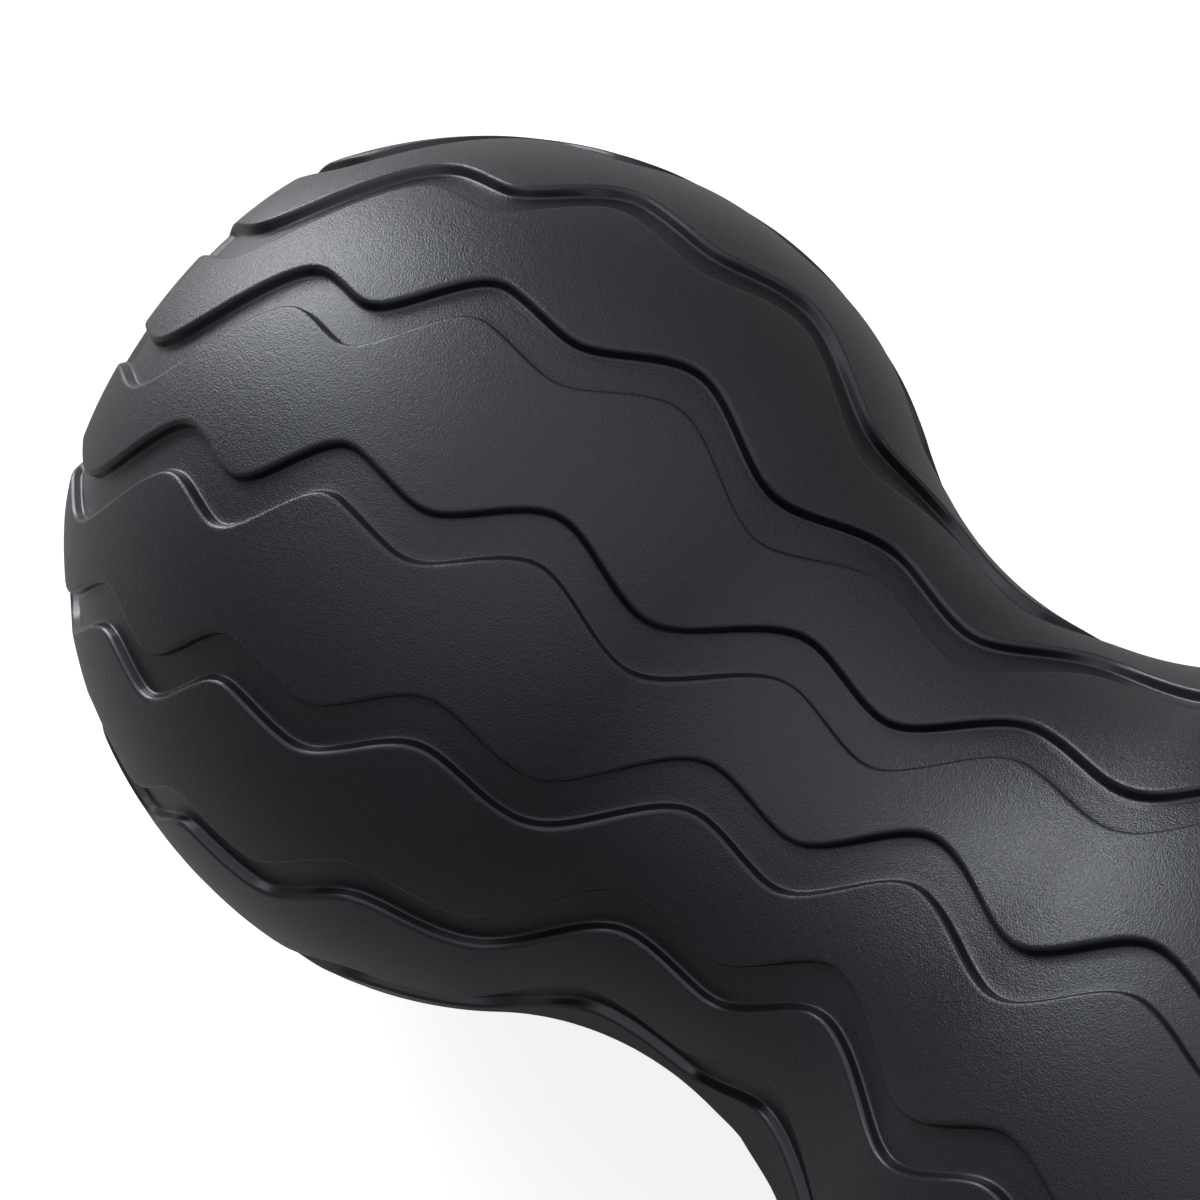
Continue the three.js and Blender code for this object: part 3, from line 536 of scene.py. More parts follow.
def skin_tree():
    """The tree that makes the skin. The outline is its geometry, the section an input."""
    tree, given = geometry_tree(
        "grooved skin", section="object", bands="count", half_length="number", start_turn="number",
        channel_width="number", channel_depth="number", edge_lead="number", wall_run="number",
        bend_rounding="number", finish="material")
    pitch = 2 * math.pi / given["bands"]
    section = tree.add("GeometryNodeObjectInfo", {}, {"Object": given["section"]}).output("Geometry")
    rows, columns = (
        tree.add("GeometryNodeAttributeDomainSize", {}, {"Geometry": line}).output("Point Count")
        for line in (given["geometry"], section))
    grid = tree.add("GeometryNodeMeshGrid", {}, {"Vertices X": rows, "Vertices Y": columns})
    index = tree.add("GeometryNodeInputIndex")
    row = tree.math("FLOOR", index / columns)
    column = index - row * columns

    def read(line, kind, value, place):
        sample = tree.add("GeometryNodeSampleIndex", {"data_type": kind}, {
            "Geometry": line, "Value": value, "Index": place})
        if kind == "FLOAT":
            return sample
        return tree.add("ShaderNodeSeparateXYZ", {}, {"Vector": sample})

    def named(label, kind):
        return tree.add(
            "GeometryNodeInputNamedAttribute", {"data_type": kind}, {"Name": label}).output("Attribute")

    position = tree.add("GeometryNodeInputPosition")
    outline = read(given["geometry"], "FLOAT_VECTOR", position, row)
    way = read(given["geometry"], "FLOAT_VECTOR", named("facing", "FLOAT_VECTOR"), row)
    share = read(given["geometry"], "FLOAT", named("channel_share", "FLOAT"), row)
    outside = read(given["geometry"], "FLOAT", named("outside_share", "FLOAT"), row)
    knot = read(section, "FLOAT_VECTOR", position, column)
    along, radius = outline.output("X"), outline.output("Z")

    first_share, last_share = WAVE_TURN_SHARES[0][1], WAVE_TURN_SHARES[-1][1]

    def wave_at(place):
        return tree.add(
            "GeometryNodeGroup", {"node_tree": band_turn}, {"place share": place / given["half_length"]})

    def turn(place):
        """Angle of a band's edge at a place, its bends rounded, steady along the lining."""
        rounding = given["bend_rounding"]
        wave = 0.5 * (wave_at(place - rounding) + wave_at(place + rounding))
        steady = tree.add("ShaderNodeMapRange", {}, {
            "Value": place / given["half_length"], "From Min": -1, "From Max": 1,
            "To Min": first_share, "To Max": last_share})
        return given["start_turn"] - pitch * (steady + outside * (wave - steady))

    def wall_reach(place):
        """Half the angle that a wall takes up where it crosses the row at a slant."""
        slant = (turn(place + SLANT_STEP) - turn(place - SLANT_STEP)) / (2 * SLANT_STEP) * radius
        return tree.math("SQRT", 1 + slant * slant) * given["wall_run"] / (2 * radius)

    other_place = along - given["edge_lead"]
    first_edge = turn(along)
    other_edge = turn(other_place) + given["channel_width"] / radius
    first_reach, other_reach = wall_reach(along), wall_reach(other_place)
    knots = [
        first_edge - first_reach, first_edge + first_reach, other_edge - other_reach,
        other_edge + other_reach, first_edge - first_reach + pitch]
    angle = knots[0]
    for number, (before, after) in enumerate(zip(knots, knots[1:])):
        angle = angle + tree.climb(knot.output("X"), number, number + 1, after - before, "LINEAR")

    depth_share = knot.output("Y")
    drop = given["channel_depth"] * share * depth_share
    reach = radius - drop * way.output("Z")
    bent = tree.add("ShaderNodeCombineXYZ", {}, {
        "X": along - drop * way.output("X"),
        "Y": reach * tree.math("COSINE", angle),
        "Z": reach * tree.math("SINE", angle)})
    wall_share = tree.math("MINIMUM", 1, WALL_FADE * depth_share * (1 - depth_share)) * share
    marked = tree.add("GeometryNodeStoreNamedAttribute", {"data_type": "FLOAT"}, {
        "Geometry": grid, "Name": "wall_share", "Value": wall_share})
    outward = tree.add("GeometryNodeFlipFaces", {}, {"Mesh": marked})
    strip = tree.add("GeometryNodeSetPosition", {}, {"Geometry": outward, "Position": bent})
    centres = tree.add("GeometryNodeMeshLine", {}, {"Count": given["bands"], "Offset": (0, 0, 0)})
    spin = tree.add("ShaderNodeCombineXYZ", {}, {"X": tree.add("GeometryNodeInputIndex") * pitch})
    strips = tree.add("GeometryNodeInstanceOnPoints", {}, {
        "Points": centres, "Instance": strip, "Rotation": spin})
    real = tree.add("GeometryNodeRealizeInstances", {}, {"Geometry": strips})
    welded = tree.add("GeometryNodeMergeByDistance", {}, {"Geometry": real, "Distance": STRIP_WELD})
    smooth = tree.add("GeometryNodeSetShadeSmooth", {}, {"Geometry": welded})
    dressed = tree.add("GeometryNodeSetMaterial", {}, {"Geometry": smooth, "Material": given["finish"]})
    tree.add("NodeGroupOutput", {}, {"geometry": dressed})
    return tree


section_line = chain("channel_section", section)
outline_line = chain(
    "skin", [place for place, way, share in profile],
    facing=[way for place, way, share in profile],
    channel_share=[share for place, way, share in profile],
    outside_share=[0 if lining_start <= i < len(profile) - lining_start else 1 for i in range(len(profile))])
skin = run_tree(
    outline_line, skin_tree(), section=section_line, bands=BANDS, half_length=HALF,
    start_turn=START_TURN, channel_width=CHANNEL_WIDTH, channel_depth=CHANNEL_DEPTH,
    edge_lead=EDGE_LEAD, wall_run=WALL_RUN, bend_rounding=BEND_ROUNDING, finish=silicone)
bpy.data.objects.remove(section_line)
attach(skin, "root")
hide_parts("silicone_skin")


def measured(piece):
    """Prints a piece's triangles, open edges and volume, positive when its faces point out."""
    mesh = bmesh.new()
    mesh.from_mesh(piece.data)
    volume = mesh.calc_volume(signed=True)
    loose = sum(1 for edge in mesh.edges if not edge.is_manifold)
    mesh.free()
    piece.data.calc_loop_triangles()
    triangles = len(piece.data.loop_triangles)
    print(piece.name, triangles, "triangles,", round(volume / MM ** 3), "mm3, open edges", loose)


measured(skin)

# %% [markdown]
# ## Turned and cut pieces
#
# The caps, the button and the light pipes are turned shapes. Each is drawn as points in X and
# radius and spun round the X axis. Holes and pockets could be modelled into the faces by hand, but
# exact Booleans cut them with pieces that are then thrown away, and keep every size a number. A
# small bevel softens every edge left sharp.

# %% Turning and cutting
DOUBLES_REACH = 0.002 * MM


def finished_mesh(name, mesh):
    """A piece from a bmesh, doubles merged and faces turned outwards."""
    bmesh.ops.remove_doubles(mesh, verts=mesh.verts, dist=DOUBLES_REACH)
    bmesh.ops.recalc_face_normals(mesh, faces=mesh.faces)
    data = bpy.data.meshes.new(name)
    mesh.to_mesh(data)
    mesh.free()
    data.shade_smooth()
    return new_piece(name, data)


def turned(name, points, centre=(0, 0), steps=128):
    """Spins points given as (X, radius) round an axis along X, with a flat disc at each end."""
    mesh = bmesh.new()
    rim = [point for point in points if point[1] > 0]
    rings = []
    for step in range(steps):
        angle = 2 * math.pi * step / steps
        y, z = math.cos(angle), math.sin(angle)
        rings.append([mesh.verts.new((x, centre[0] + r * y, centre[1] + r * z)) for x, r in rim])
    for here, there in zip(rings, rings[1:] + rings[:1]):
        for i in range(len(rim) - 1):
            mesh.faces.new((here[i], here[i + 1], there[i + 1], there[i]))
    mesh.faces.new([ring[0] for ring in rings])
    mesh.faces.new([ring[-1] for ring in rings])
    return finished_mesh(name, mesh)


def drawn(name, outline, low, high):
    """An outline given as (Y, Z), drawn along X from low to high."""
    mesh = bmesh.new()
    lower = [mesh.verts.new((low, y, z)) for y, z in outline]
    upper = [mesh.verts.new((high, y, z)) for y, z in outline]
    mesh.faces.new(lower)
    mesh.faces.new(reversed(upper))
    for i in range(len(outline)):
        j = (i + 1) % len(outline)
        mesh.faces.new((lower[i], upper[i], upper[j], lower[j]))
    return finished_mesh(name, mesh)


def rounded_outline(width, height, corner, middle, steps):
    """A rectangle with round corners in Y and Z."""
    points = []
    for number, (y, z) in enumerate(((1, 1), (-1, 1), (-1, -1), (1, -1))):
        for step in range(steps + 1):
            angle = math.pi / 2 * (number + step / steps)
            points.append((
                middle[0] + y * (width / 2 - corner) + corner * math.cos(angle),
                middle[1] + z * (height / 2 - corner) + corner * math.sin(angle)))
    return points


def modify(piece, kind, **settings):
    """Adds a modifier with its settings."""
    modifier = piece.modifiers.new(kind.lower(), kind)
    for label, value in settings.items():
        setattr(modifier, label, value)


def combined(piece, others, operation="DIFFERENCE"):
    """Cuts or joins other closed pieces, which are then thrown away."""
    for other in others:
        modify(piece, "BOOLEAN", operation=operation, solver="EXACT", object=other)
    plain_mesh(piece)
    for other in others:
        bpy.data.objects.remove(other)
    return piece


def softened(piece, width, angle, steps=2):
    """Bevels edges sharper than an angle in degrees and shades flat faces flat."""
    modify(piece, "BEVEL", width=width, segments=steps, limit_method="ANGLE", angle_limit=math.radians(angle))
    modify(piece, "WEIGHTED_NORMAL", keep_sharp=True)
    return plain_mesh(piece)


def part_of(piece, body, slot, finish, *replaced):
    """Gives a piece its finish, its body and the nodes that it stands for."""
    piece.data.materials.clear()
    piece.data.materials.append(finish)
    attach(piece, body)
    if replaced:
        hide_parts(*replaced)
    measured(piece)
    return piece


print("turning and cutting ready")

# %% [markdown]
# ## Moulded plastics and metals
#
# The other finishes are plastics, rubber, metals and ink. A flat colour would make all of them
# look alike, so they share one recipe with its own numbers for each. A soft noise drifts between
# two close shades, a finer one gives the grain as bump, and the roughness wanders a little with
# both. A stretch turns the grain into the lines of turned steel or the strands of wound copper.

# %% Finishes
DRIFT = 9 * MM


def finish(name, dark, light, roughness, grain, relief, metallic=0, stretch=(1, 1, 1)):
    """Grain and relief are in millimetres."""
    material, tree, shader, place = new_material(name, metallic=metallic)
    mapped = tree.add("ShaderNodeMapping", {}, {"Vector": place, "Scale": stretch})
    fine = noise(tree, mapped, grain * MM, 3)
    drift = noise(tree, place, DRIFT)
    tree.feed(shader.inputs["Base Color"], shades(tree, drift * 0.7 + fine * 0.3, dark, light))
    tree.feed(shader.inputs["Roughness"], roughness + 0.1 * (drift - 0.5) + 0.12 * (fine - 0.5))
    bumped(tree, shader, fine, relief * MM)
    return material


# Dark and light shade, roughness, grain, relief, and where it matters metallic and stretch
cap_plastic = finish("cap plastic", (0.020, 0.021, 0.024), (0.026, 0.0272, 0.031), 0.46, 0.35, 0.02)
button_plastic = finish("button plastic", (0.032, 0.034, 0.038), (0.040, 0.042, 0.047), 0.34, 0.5, 0.008)
light_pipe = finish("frosted light pipe", (0.60, 0.67, 0.74), (0.72, 0.79, 0.85), 0.35, 0.3, 0.006)
print_ink = finish("mark", (0.62, 0.64, 0.66), (0.72, 0.74, 0.76), 0.5, 0.2, 0.004)
steel = finish(
    "turned steel", (0.42, 0.44, 0.46), (0.55, 0.57, 0.59), 0.32, 0.4, 0.006, 1, (1, 0.08, 0.08))
gold = finish("gold plating", (0.72, 0.50, 0.19), (0.85, 0.62, 0.27), 0.28, 0.3, 0.004, 1)
black_moulding = finish("black moulding", (0.020, 0.020, 0.021), (0.030, 0.030, 0.031), 0.45, 0.4, 0.01)
print("finishes", cap_plastic.name, "to", black_moulding.name)

# %% [markdown]
# ## End caps
#
# A round plastic cap closes each end, flush with the end of the skin. Its rim is softly rounded
# and a fine groove is turned near it, so the joint beside it shows less. Behind the face a hollow
# spigot with a seal groove plugs into the core. The plain cap is the same all round, so turning
# one section makes the whole of it, and nothing has to be cut.

# %% Plain end cap
CAP_FACE = HALF
CAP_BACK = HALF - SKIN_WALL
CAP_RIM = 0.8 * MM
CAP_GROOVE = 0.35 * MM
GROOVE_RING = CAP_RADIUS - 2.1 * MM
PLATE_BACK = HALF - 3.6 * MM
SPIGOT_END = -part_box("plain_end_cap")[1].x
SPIGOT_RADIUS = 20.7 * MM
SPIGOT_HOLLOW = 17.8 * MM
SEAL_MIDDLE = sum(corner.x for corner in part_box("control_cap_seal")) / 2
SEAL_GROOVE = 1.2 * MM
SEAL_FLOOR = 19.2 * MM
# The dish of the plain cap: its depth, its steps, and how many of them its flat middle takes up
CAP_DISH = 0.35 * MM
CAP_DISH_STEPS = 12
FLAT_STEPS = 3
PLAIN_CAP_BEVEL = 0.12 * MM


def arc(middle, radius, start, end, steps):
    """Points on an arc in X and radius, angles in degrees from +X towards the outside."""
    angles = [math.radians(start + (end - start) * step / steps) for step in range(steps + 1)]
    return [(middle[0] + radius * math.cos(a), middle[1] + radius * math.sin(a)) for a in angles]


def cap_profile(side, dish):
    """The closed section of a cap: face, rim, spigot, seal groove and hollow."""
    dish_reach = GROOVE_RING - 2.5 * CAP_GROOVE
    face = []
    if dish:
        for step in range(FLAT_STEPS, CAP_DISH_STEPS + 1):
            share = step / CAP_DISH_STEPS
            face += [(CAP_FACE - dish * (1 + math.cos(math.pi * share)) / 2, dish_reach * share)]
    face += [(CAP_FACE, GROOVE_RING - CAP_GROOVE)]
    face += arc((CAP_FACE, GROOVE_RING), CAP_GROOVE, 270, 90, 8)[1:-1]
    face += [(CAP_FACE, GROOVE_RING + CAP_GROOVE)]
    face += arc((CAP_FACE - CAP_RIM, CAP_RADIUS - CAP_RIM), CAP_RIM, 0, 90, 6)
    back = [
        (CAP_BACK, CAP_RADIUS), (CAP_BACK, SPIGOT_RADIUS), (SEAL_MIDDLE + SEAL_GROOVE, SPIGOT_RADIUS),
        (SEAL_MIDDLE + SEAL_GROOVE, SEAL_FLOOR), (SEAL_MIDDLE - SEAL_GROOVE, SEAL_FLOOR),
        (SEAL_MIDDLE - SEAL_GROOVE, SPIGOT_RADIUS), (SPIGOT_END, SPIGOT_RADIUS),
        (SPIGOT_END, SPIGOT_HOLLOW), (PLATE_BACK, SPIGOT_HOLLOW)]
    return [(side * x, r) for x, r in face + back]


plain_cap = turned("plain_end_cap_turned", cap_profile(side=-1, dish=CAP_DISH))
softened(plain_cap, width=PLAIN_CAP_BEVEL, angle=50)
part_of(plain_cap, "root", "cap_plastic", cap_plastic, "plain_end_cap")

# %% [markdown]
# ## The control cap
#
# The other cap starts from the same turned section. It is cut for the push button, for five small
# level lights on an arc above it, and for the pocket of a little door over the charging socket.
# Two posts behind it carry the circuit board. Loose pieces pushed into each other would do for a
# picture, but a real cap is moulded in one shot. So the cuts and posts become one mesh, and every
# edge gets the same small softening.

# %% Control cap
BUTTON_RADIUS = 7 * MM
LIGHT_RADIUS = 1 * MM
LIGHT_RING = 12.5 * MM
LIGHT_STEP = math.radians(22)
LIGHTS = 5
DOOR_LOW, DOOR_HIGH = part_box("port_door")
DOOR_HALF = 6.5 * MM
DOOR_EDGE = (DOOR_HIGH.x - DOOR_LOW.x) / 2
HINGE = Vector(((DOOR_LOW.x + DOOR_HIGH.x) / 2, 0, DOOR_LOW.z + DOOR_EDGE))
PIN_RADIUS = 0.5 * MM
PIN_REACH = DOOR_HALF + 1.1 * MM
POCKET_FLOOR = DOOR_LOW.x - FIT_GAP
POCKET_CORNER = 0.45 * MM
SOCKET_LOW, SOCKET_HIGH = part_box("charge_socket")
SOCKET_MIDDLE = (SOCKET_LOW.z + SOCKET_HIGH.z) / 2
SCREW_SPREAD = 14.8 * MM
SCREW_HOLE_RADIUS = 1.3 * MM
SCREW_HOLE_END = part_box("board_screw_1")[1].x + FIT_GAP
POST_RADIUS = 2.8 * MM
POST_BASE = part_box("tact_switch")[0].x
POST_OVERLAP = 0.5 * MM
CUT_OVERRUN = 1 * MM
OUTSIDE = HALF + CUT_OVERRUN
INSIDE = PLATE_BACK - CUT_OVERRUN
HAIR = 0.01 * MM
CONTROL_CAP_BEVEL = 0.15 * MM


def light_place(number):
    """Y and Z of a level light on its arc."""
    angle = (number - (LIGHTS - 1) / 2) * LIGHT_STEP
    return LIGHT_RING * math.sin(angle), LIGHT_RING * math.cos(angle)


def rod(name, radius, low, high, centre=(0, 0), steps=48):
    """A straight round rod along X."""
    return turned(name, [(low, radius), (high, radius)], centre, steps)


def pocket_cutter():
    """The room for the door, a gap wider all round."""
    width = 2 * (DOOR_HALF + FIT_GAP)
    height = DOOR_HIGH.z - DOOR_LOW.z + 2 * FIT_GAP
    outline = rounded_outline(width, height, POCKET_CORNER, (0, (DOOR_LOW.z + DOOR_HIGH.z) / 2), steps=6)
    return drawn("pocket", outline, POCKET_FLOOR, OUTSIDE)


def socket_cutter():
    """A slot round the socket, a hair short of half round at its ends so that no points meet."""
    width = SOCKET_HIGH.y - SOCKET_LOW.y + 2 * FIT_GAP
    height = SOCKET_HIGH.z - SOCKET_LOW.z + 2 * FIT_GAP
    outline = rounded_outline(width, height, height / 2 - HAIR, (0, SOCKET_MIDDLE), steps=10)
    return drawn("socket opening", outline, INSIDE, OUTSIDE)


def on_hinge(piece):
    """Lays a piece that was made along X across the cap, on the door's hinge."""
    piece.data.transform(Matrix.Rotation(math.pi / 2, 4, "Z"))
    piece.data.transform(Matrix.Translation(HINGE))
    return piece


control_cap = turned("control_end_cap_cut", cap_profile(side=1, dish=0))
post_places = [(side * SCREW_SPREAD, 0) for side in (-1, 1)]
light_places = [light_place(number) for number in range(LIGHTS)]
posts = [rod("post", POST_RADIUS, POST_BASE, PLATE_BACK + POST_OVERLAP, place) for place in post_places]
combined(control_cap, posts, "UNION")
hole_reach = PIN_REACH + FIT_GAP
combined(control_cap, [
    rod("button hole", BUTTON_RADIUS + FIT_GAP, INSIDE, OUTSIDE, (0, 0), 96),
    *(rod("light hole", LIGHT_RADIUS + FIT_GAP, INSIDE, OUTSIDE, place, 32) for place in light_places),
    *(rod("screw hole", SCREW_HOLE_RADIUS, POST_BASE - CUT_OVERRUN, SCREW_HOLE_END, place, 24)
      for place in post_places),
    pocket_cutter(), socket_cutter(),
    on_hinge(rod("pin hole", PIN_RADIUS + FIT_GAP, -hole_reach, hole_reach))])
softened(control_cap, width=CONTROL_CAP_BEVEL, angle=40)
part_of(control_cap, "root", "cap_plastic", cap_plastic, "control_end_cap")

# %% [markdown]
# ## Button and mark
#
# The button is a turned disc with a soft dish for a fingertip, and a flange behind the cap holds
# it in. It wears only the standard mark for on and off. The mark could be painted by the material,
# but as a thin piece that follows the dish it stays sharp and can be given any finish.

# %% Button and mark
BUTTON_BACK, BUTTON_FACE = (corner.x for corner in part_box("power_button"))
BUTTON_FLANGE = 8.2 * MM
FLANGE_FRONT = BUTTON_BACK + 0.9 * MM
BUTTON_EDGE = 0.5 * MM
BUTTON_DISH = 0.4 * MM
DISH_REACH = BUTTON_RADIUS * 0.8
BUTTON_DISH_STEPS = 16
BUTTON_BEVEL = 0.08 * MM
MARK_RING = 1.9 * MM
MARK_STROKE = 0.42 * MM
MARK_GAP = math.radians(32)
MARK_PROUD = 0.04 * MM
MARK_SUNK = -0.06 * MM
MARK_STEPS = 48
# The bar through the gap, in shares of the ring's radius
BAR_START = 0.35
BAR_LENGTH = 0.95
BAR_STEPS = 8


def dish_depth(radius):
    """How far the button's face lies back at a distance from its middle."""
    return BUTTON_DISH * (1 + math.cos(math.pi * min(radius / DISH_REACH, 1))) / 2


def button_profile():
    """The closed section of the button: flange, edge and dished face."""
    edge = arc((BUTTON_FACE - BUTTON_EDGE, BUTTON_RADIUS - BUTTON_EDGE), BUTTON_EDGE, 0, 90, 6)
    dished = [DISH_REACH * step / BUTTON_DISH_STEPS for step in range(BUTTON_DISH_STEPS, 0, -1)]
    return [
        (BUTTON_BACK, BUTTON_FLANGE), (FLANGE_FRONT, BUTTON_FLANGE), (FLANGE_FRONT, BUTTON_RADIUS),
        *reversed(edge), *((BUTTON_FACE - dish_depth(radius), radius) for radius in dished)]


def mark_piece():
    """A broken ring with a bar through its gap, a hair proud of the dish."""
    mesh = bmesh.new()
    corners = ((-1, MARK_SUNK), (-1, MARK_PROUD), (1, MARK_PROUD), (1, MARK_SUNK))

    def strip(rows):
        verts = [
            [mesh.verts.new((BUTTON_FACE - dish_depth(math.hypot(y, z)) + lift, y, z)) for y, z, lift in row]
            for row in rows]
        for here, there in zip(verts, verts[1:]):
            for i in range(len(here)):
                j = (i + 1) % len(here)
                mesh.faces.new((here[i], here[j], there[j], there[i]))
        mesh.faces.new(reversed(verts[0]))
        mesh.faces.new(verts[-1])

    rows = []
    for step in range(MARK_STEPS + 1):
        angle = MARK_GAP + (2 * math.pi - 2 * MARK_GAP) * step / MARK_STEPS
        reaches = [(MARK_RING + side * MARK_STROKE / 2, lift) for side, lift in corners]
        rows.append([(reach * math.sin(angle), reach * math.cos(angle), lift) for reach, lift in reaches])
    strip(rows)
    heights = [MARK_RING * (BAR_START + BAR_LENGTH * step / BAR_STEPS) for step in range(BAR_STEPS + 1)]
    strip([[(side * MARK_STROKE / 2, z, lift) for side, lift in corners] for z in heights])
    return finished_mesh("power_mark", mesh)


button = turned("power_button_turned", button_profile(), steps=96)
softened(button, width=BUTTON_BEVEL, angle=50)
part_of(button, "button", "button_plastic", button_plastic, "power_button")
part_of(mark_piece(), "button", "light_pipe", print_ink)

# %% [markdown]
# ## Level lights
#
# Five frosted pipes carry light from the board to the face of the cap and show the chosen speed.
# They could be five copies placed by hand, but they differ in nothing but their angle. So one pipe
# is turned, and a small tree repeats it on the arc of the holes.

# %% Level lights
def spread(tree, count, place, shape, finish):
    """Ends a tree with a shape at each place, made real and given its material."""
    line = tree.add("GeometryNodeMeshLine", {}, {"Count": count, "Offset": (0, 0, 0)})
    points = tree.add("GeometryNodeSetPosition", {}, {"Geometry": line, "Position": place})
    copies = tree.add("GeometryNodeInstanceOnPoints", {}, {"Points": points, "Instance": shape})
    real = tree.add("GeometryNodeRealizeInstances", {}, {"Geometry": copies})
    dressed = tree.add("GeometryNodeSetMaterial", {}, {"Geometry": real, "Material": finish})
    tree.add("NodeGroupOutput", {}, {"geometry": dressed})
    return tree


def lights_tree():
    tree, given = geometry_tree(
        "lights on an arc", pipe="object", count="count", ring="number", step="number", finish="material")
    number = tree.add("GeometryNodeInputIndex")
    angle = (number - (given["count"] - 1) / 2) * given["step"]
    place = tree.add("ShaderNodeCombineXYZ", {}, {
        "Y": given["ring"] * tree.math("SINE", angle), "Z": given["ring"] * tree.math("COSINE", angle)})
    pipe = tree.add("GeometryNodeObjectInfo", {}, {"Object": given["pipe"]}).output("Geometry")
    return spread(tree, given["count"], place, pipe, given["finish"])


PIPE_EDGE = 0.25 * MM


def pipe_profile():
    """A straight pipe with a soft edge at its front."""
    back, front = (corner.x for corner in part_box("level_light_1"))
    return [(back, LIGHT_RADIUS), *arc((front - PIPE_EDGE, LIGHT_RADIUS - PIPE_EDGE), PIPE_EDGE, 90, 0, 4)]


pipe = turned("pipe", pipe_profile(), steps=32)
lights = run_tree(
    new_piece("level_lights", bpy.data.meshes.new("level_lights")), lights_tree(), pipe=pipe,
    count=LIGHTS, ring=LIGHT_RING, step=LIGHT_STEP, finish=light_pipe)
bpy.data.objects.remove(pipe)
part_of(lights, "root", "light_pipe", light_pipe, *(f"level_light_{number + 1}" for number in range(LIGHTS)))

# %% [markdown]
# ## The charging door
#
# A small door covers the socket and swings down on two pins. Its lower edge is round about the
# pins, so it clears the pocket as it turns, and a scoop at the top gives a fingernail its grip. It
# could be a plain box, but then its lower corners would cut into the cap on the way. So its
# section is drawn round the hinge and carried across.

# %% Door
SCOOP_RADIUS = 5 * MM
SCOOP_DEPTH = 0.7 * MM
SCOOP_RISE = 1.2 * MM
HINGE_STEPS = 16
DOOR_BEVEL = 0.3 * MM


def door_plate():
    """The plate's section in X and Z, round about the pins, drawn across in Y."""
    top = DOOR_HIGH.z - HINGE.z
    turns = [math.pi * step / HINGE_STEPS for step in range(HINGE_STEPS + 1)]
    section = [(DOOR_EDGE, top), (-DOOR_EDGE, top)]
    section += [(-DOOR_EDGE * math.cos(turn), -DOOR_EDGE * math.sin(turn)) for turn in turns]
    mesh = bmesh.new()
    left, right = (
        [mesh.verts.new((HINGE.x + x, y, HINGE.z + z)) for x, z in section] for y in (-DOOR_HALF, DOOR_HALF))
    mesh.faces.new(left)
    mesh.faces.new(reversed(right))
    for i in range(len(section)):
        j = (i + 1) % len(section)
        mesh.faces.new((left[i], left[j], right[j], right[i]))
    return finished_mesh("port_door_moulded", mesh)


door = door_plate()
scoop = turned("scoop", arc((0, 0), SCOOP_RADIUS, 180, 0, 24), steps=64)
scoop.data.transform(Matrix.Translation((HALF + SCOOP_RADIUS - SCOOP_DEPTH, 0, DOOR_HIGH.z + SCOOP_RISE)))
combined(door, [scoop])
softened(door, width=DOOR_BEVEL, angle=40, steps=3)
combined(door, [on_hinge(rod("pins", PIN_RADIUS, -PIN_REACH, PIN_REACH, steps=24))], "UNION")
part_of(door, "door", "cap_plastic", cap_plastic, "port_door")

# %% [markdown]
# ## Contacts in the socket
#
# Behind the door a steel sleeve stands round a tongue, and the tongue carries a row of gold
# contacts above and another below. Gold lines in the tongue's material would need a mask, while
# small raised pads repeated by Geometry Nodes catch the light by themselves.

# %% Contacts in the socket
CONTACTS_IN_ROW = 12
CONTACT_SPACING = 0.5 * MM
CONTACT_LONG = 2.8 * MM
CONTACT_WIDE = 0.28 * MM
CONTACT_THIN = 0.06 * MM
CONTACT_MIDDLE = 1.6 * MM


def contacts_tree():
    tree, given = geometry_tree(
        "contact rows", count="count", spacing="number", tongue="number", long="number", wide="number",
        thin="number", finish="material")
    number = tree.add("GeometryNodeInputIndex")
    row = tree.math("FLOOR", number / given["count"])
    across = (number - row * given["count"] - (given["count"] - 1) / 2) * given["spacing"]
    place = tree.add("ShaderNodeCombineXYZ", {}, {"Y": across, "Z": (row - 0.5) * given["tongue"]})
    size = tree.add("ShaderNodeCombineXYZ", {}, {"X": given["long"], "Y": given["wide"], "Z": given["thin"]})
    pad = tree.add("GeometryNodeMeshCube", {}, {"Size": size})
    return spread(tree, given["count"] * 2, place, pad, given["finish"])


tongue_low, tongue_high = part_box("socket_tongue")
contacts = run_tree(
    new_piece("tongue_contacts", bpy.data.meshes.new("tongue_contacts")), contacts_tree(),
    count=CONTACTS_IN_ROW, spacing=CONTACT_SPACING, tongue=tongue_high.z - tongue_low.z,
    long=CONTACT_LONG, wide=CONTACT_WIDE, thin=CONTACT_THIN, finish=gold)
middle = Vector((tongue_high.x - CONTACT_MIDDLE, 0, (tongue_low.z + tongue_high.z) / 2))
contacts.data.transform(Matrix.Translation(middle))
part_of(contacts, "root", "steel", gold)

# %% [markdown]
# ## Inside the core
#
# The motor, the cells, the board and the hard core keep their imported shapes, because nothing of
# them shows from outside. They could stay plain grey too, but someone may open the roller and look
# at its parts one by one. So each gets the finish of its material: steel for the can and screws,
# wound copper, brass weights, coloured sleeves on cells and leads, solder mask on the board. The
# socket's sleeve and tongue keep their shapes as well and get steel and black plastic.

# %% Inner finishes
TRACK_CELL = 2.4 * MM
TRACK_RELIEF = 0.02 * MM


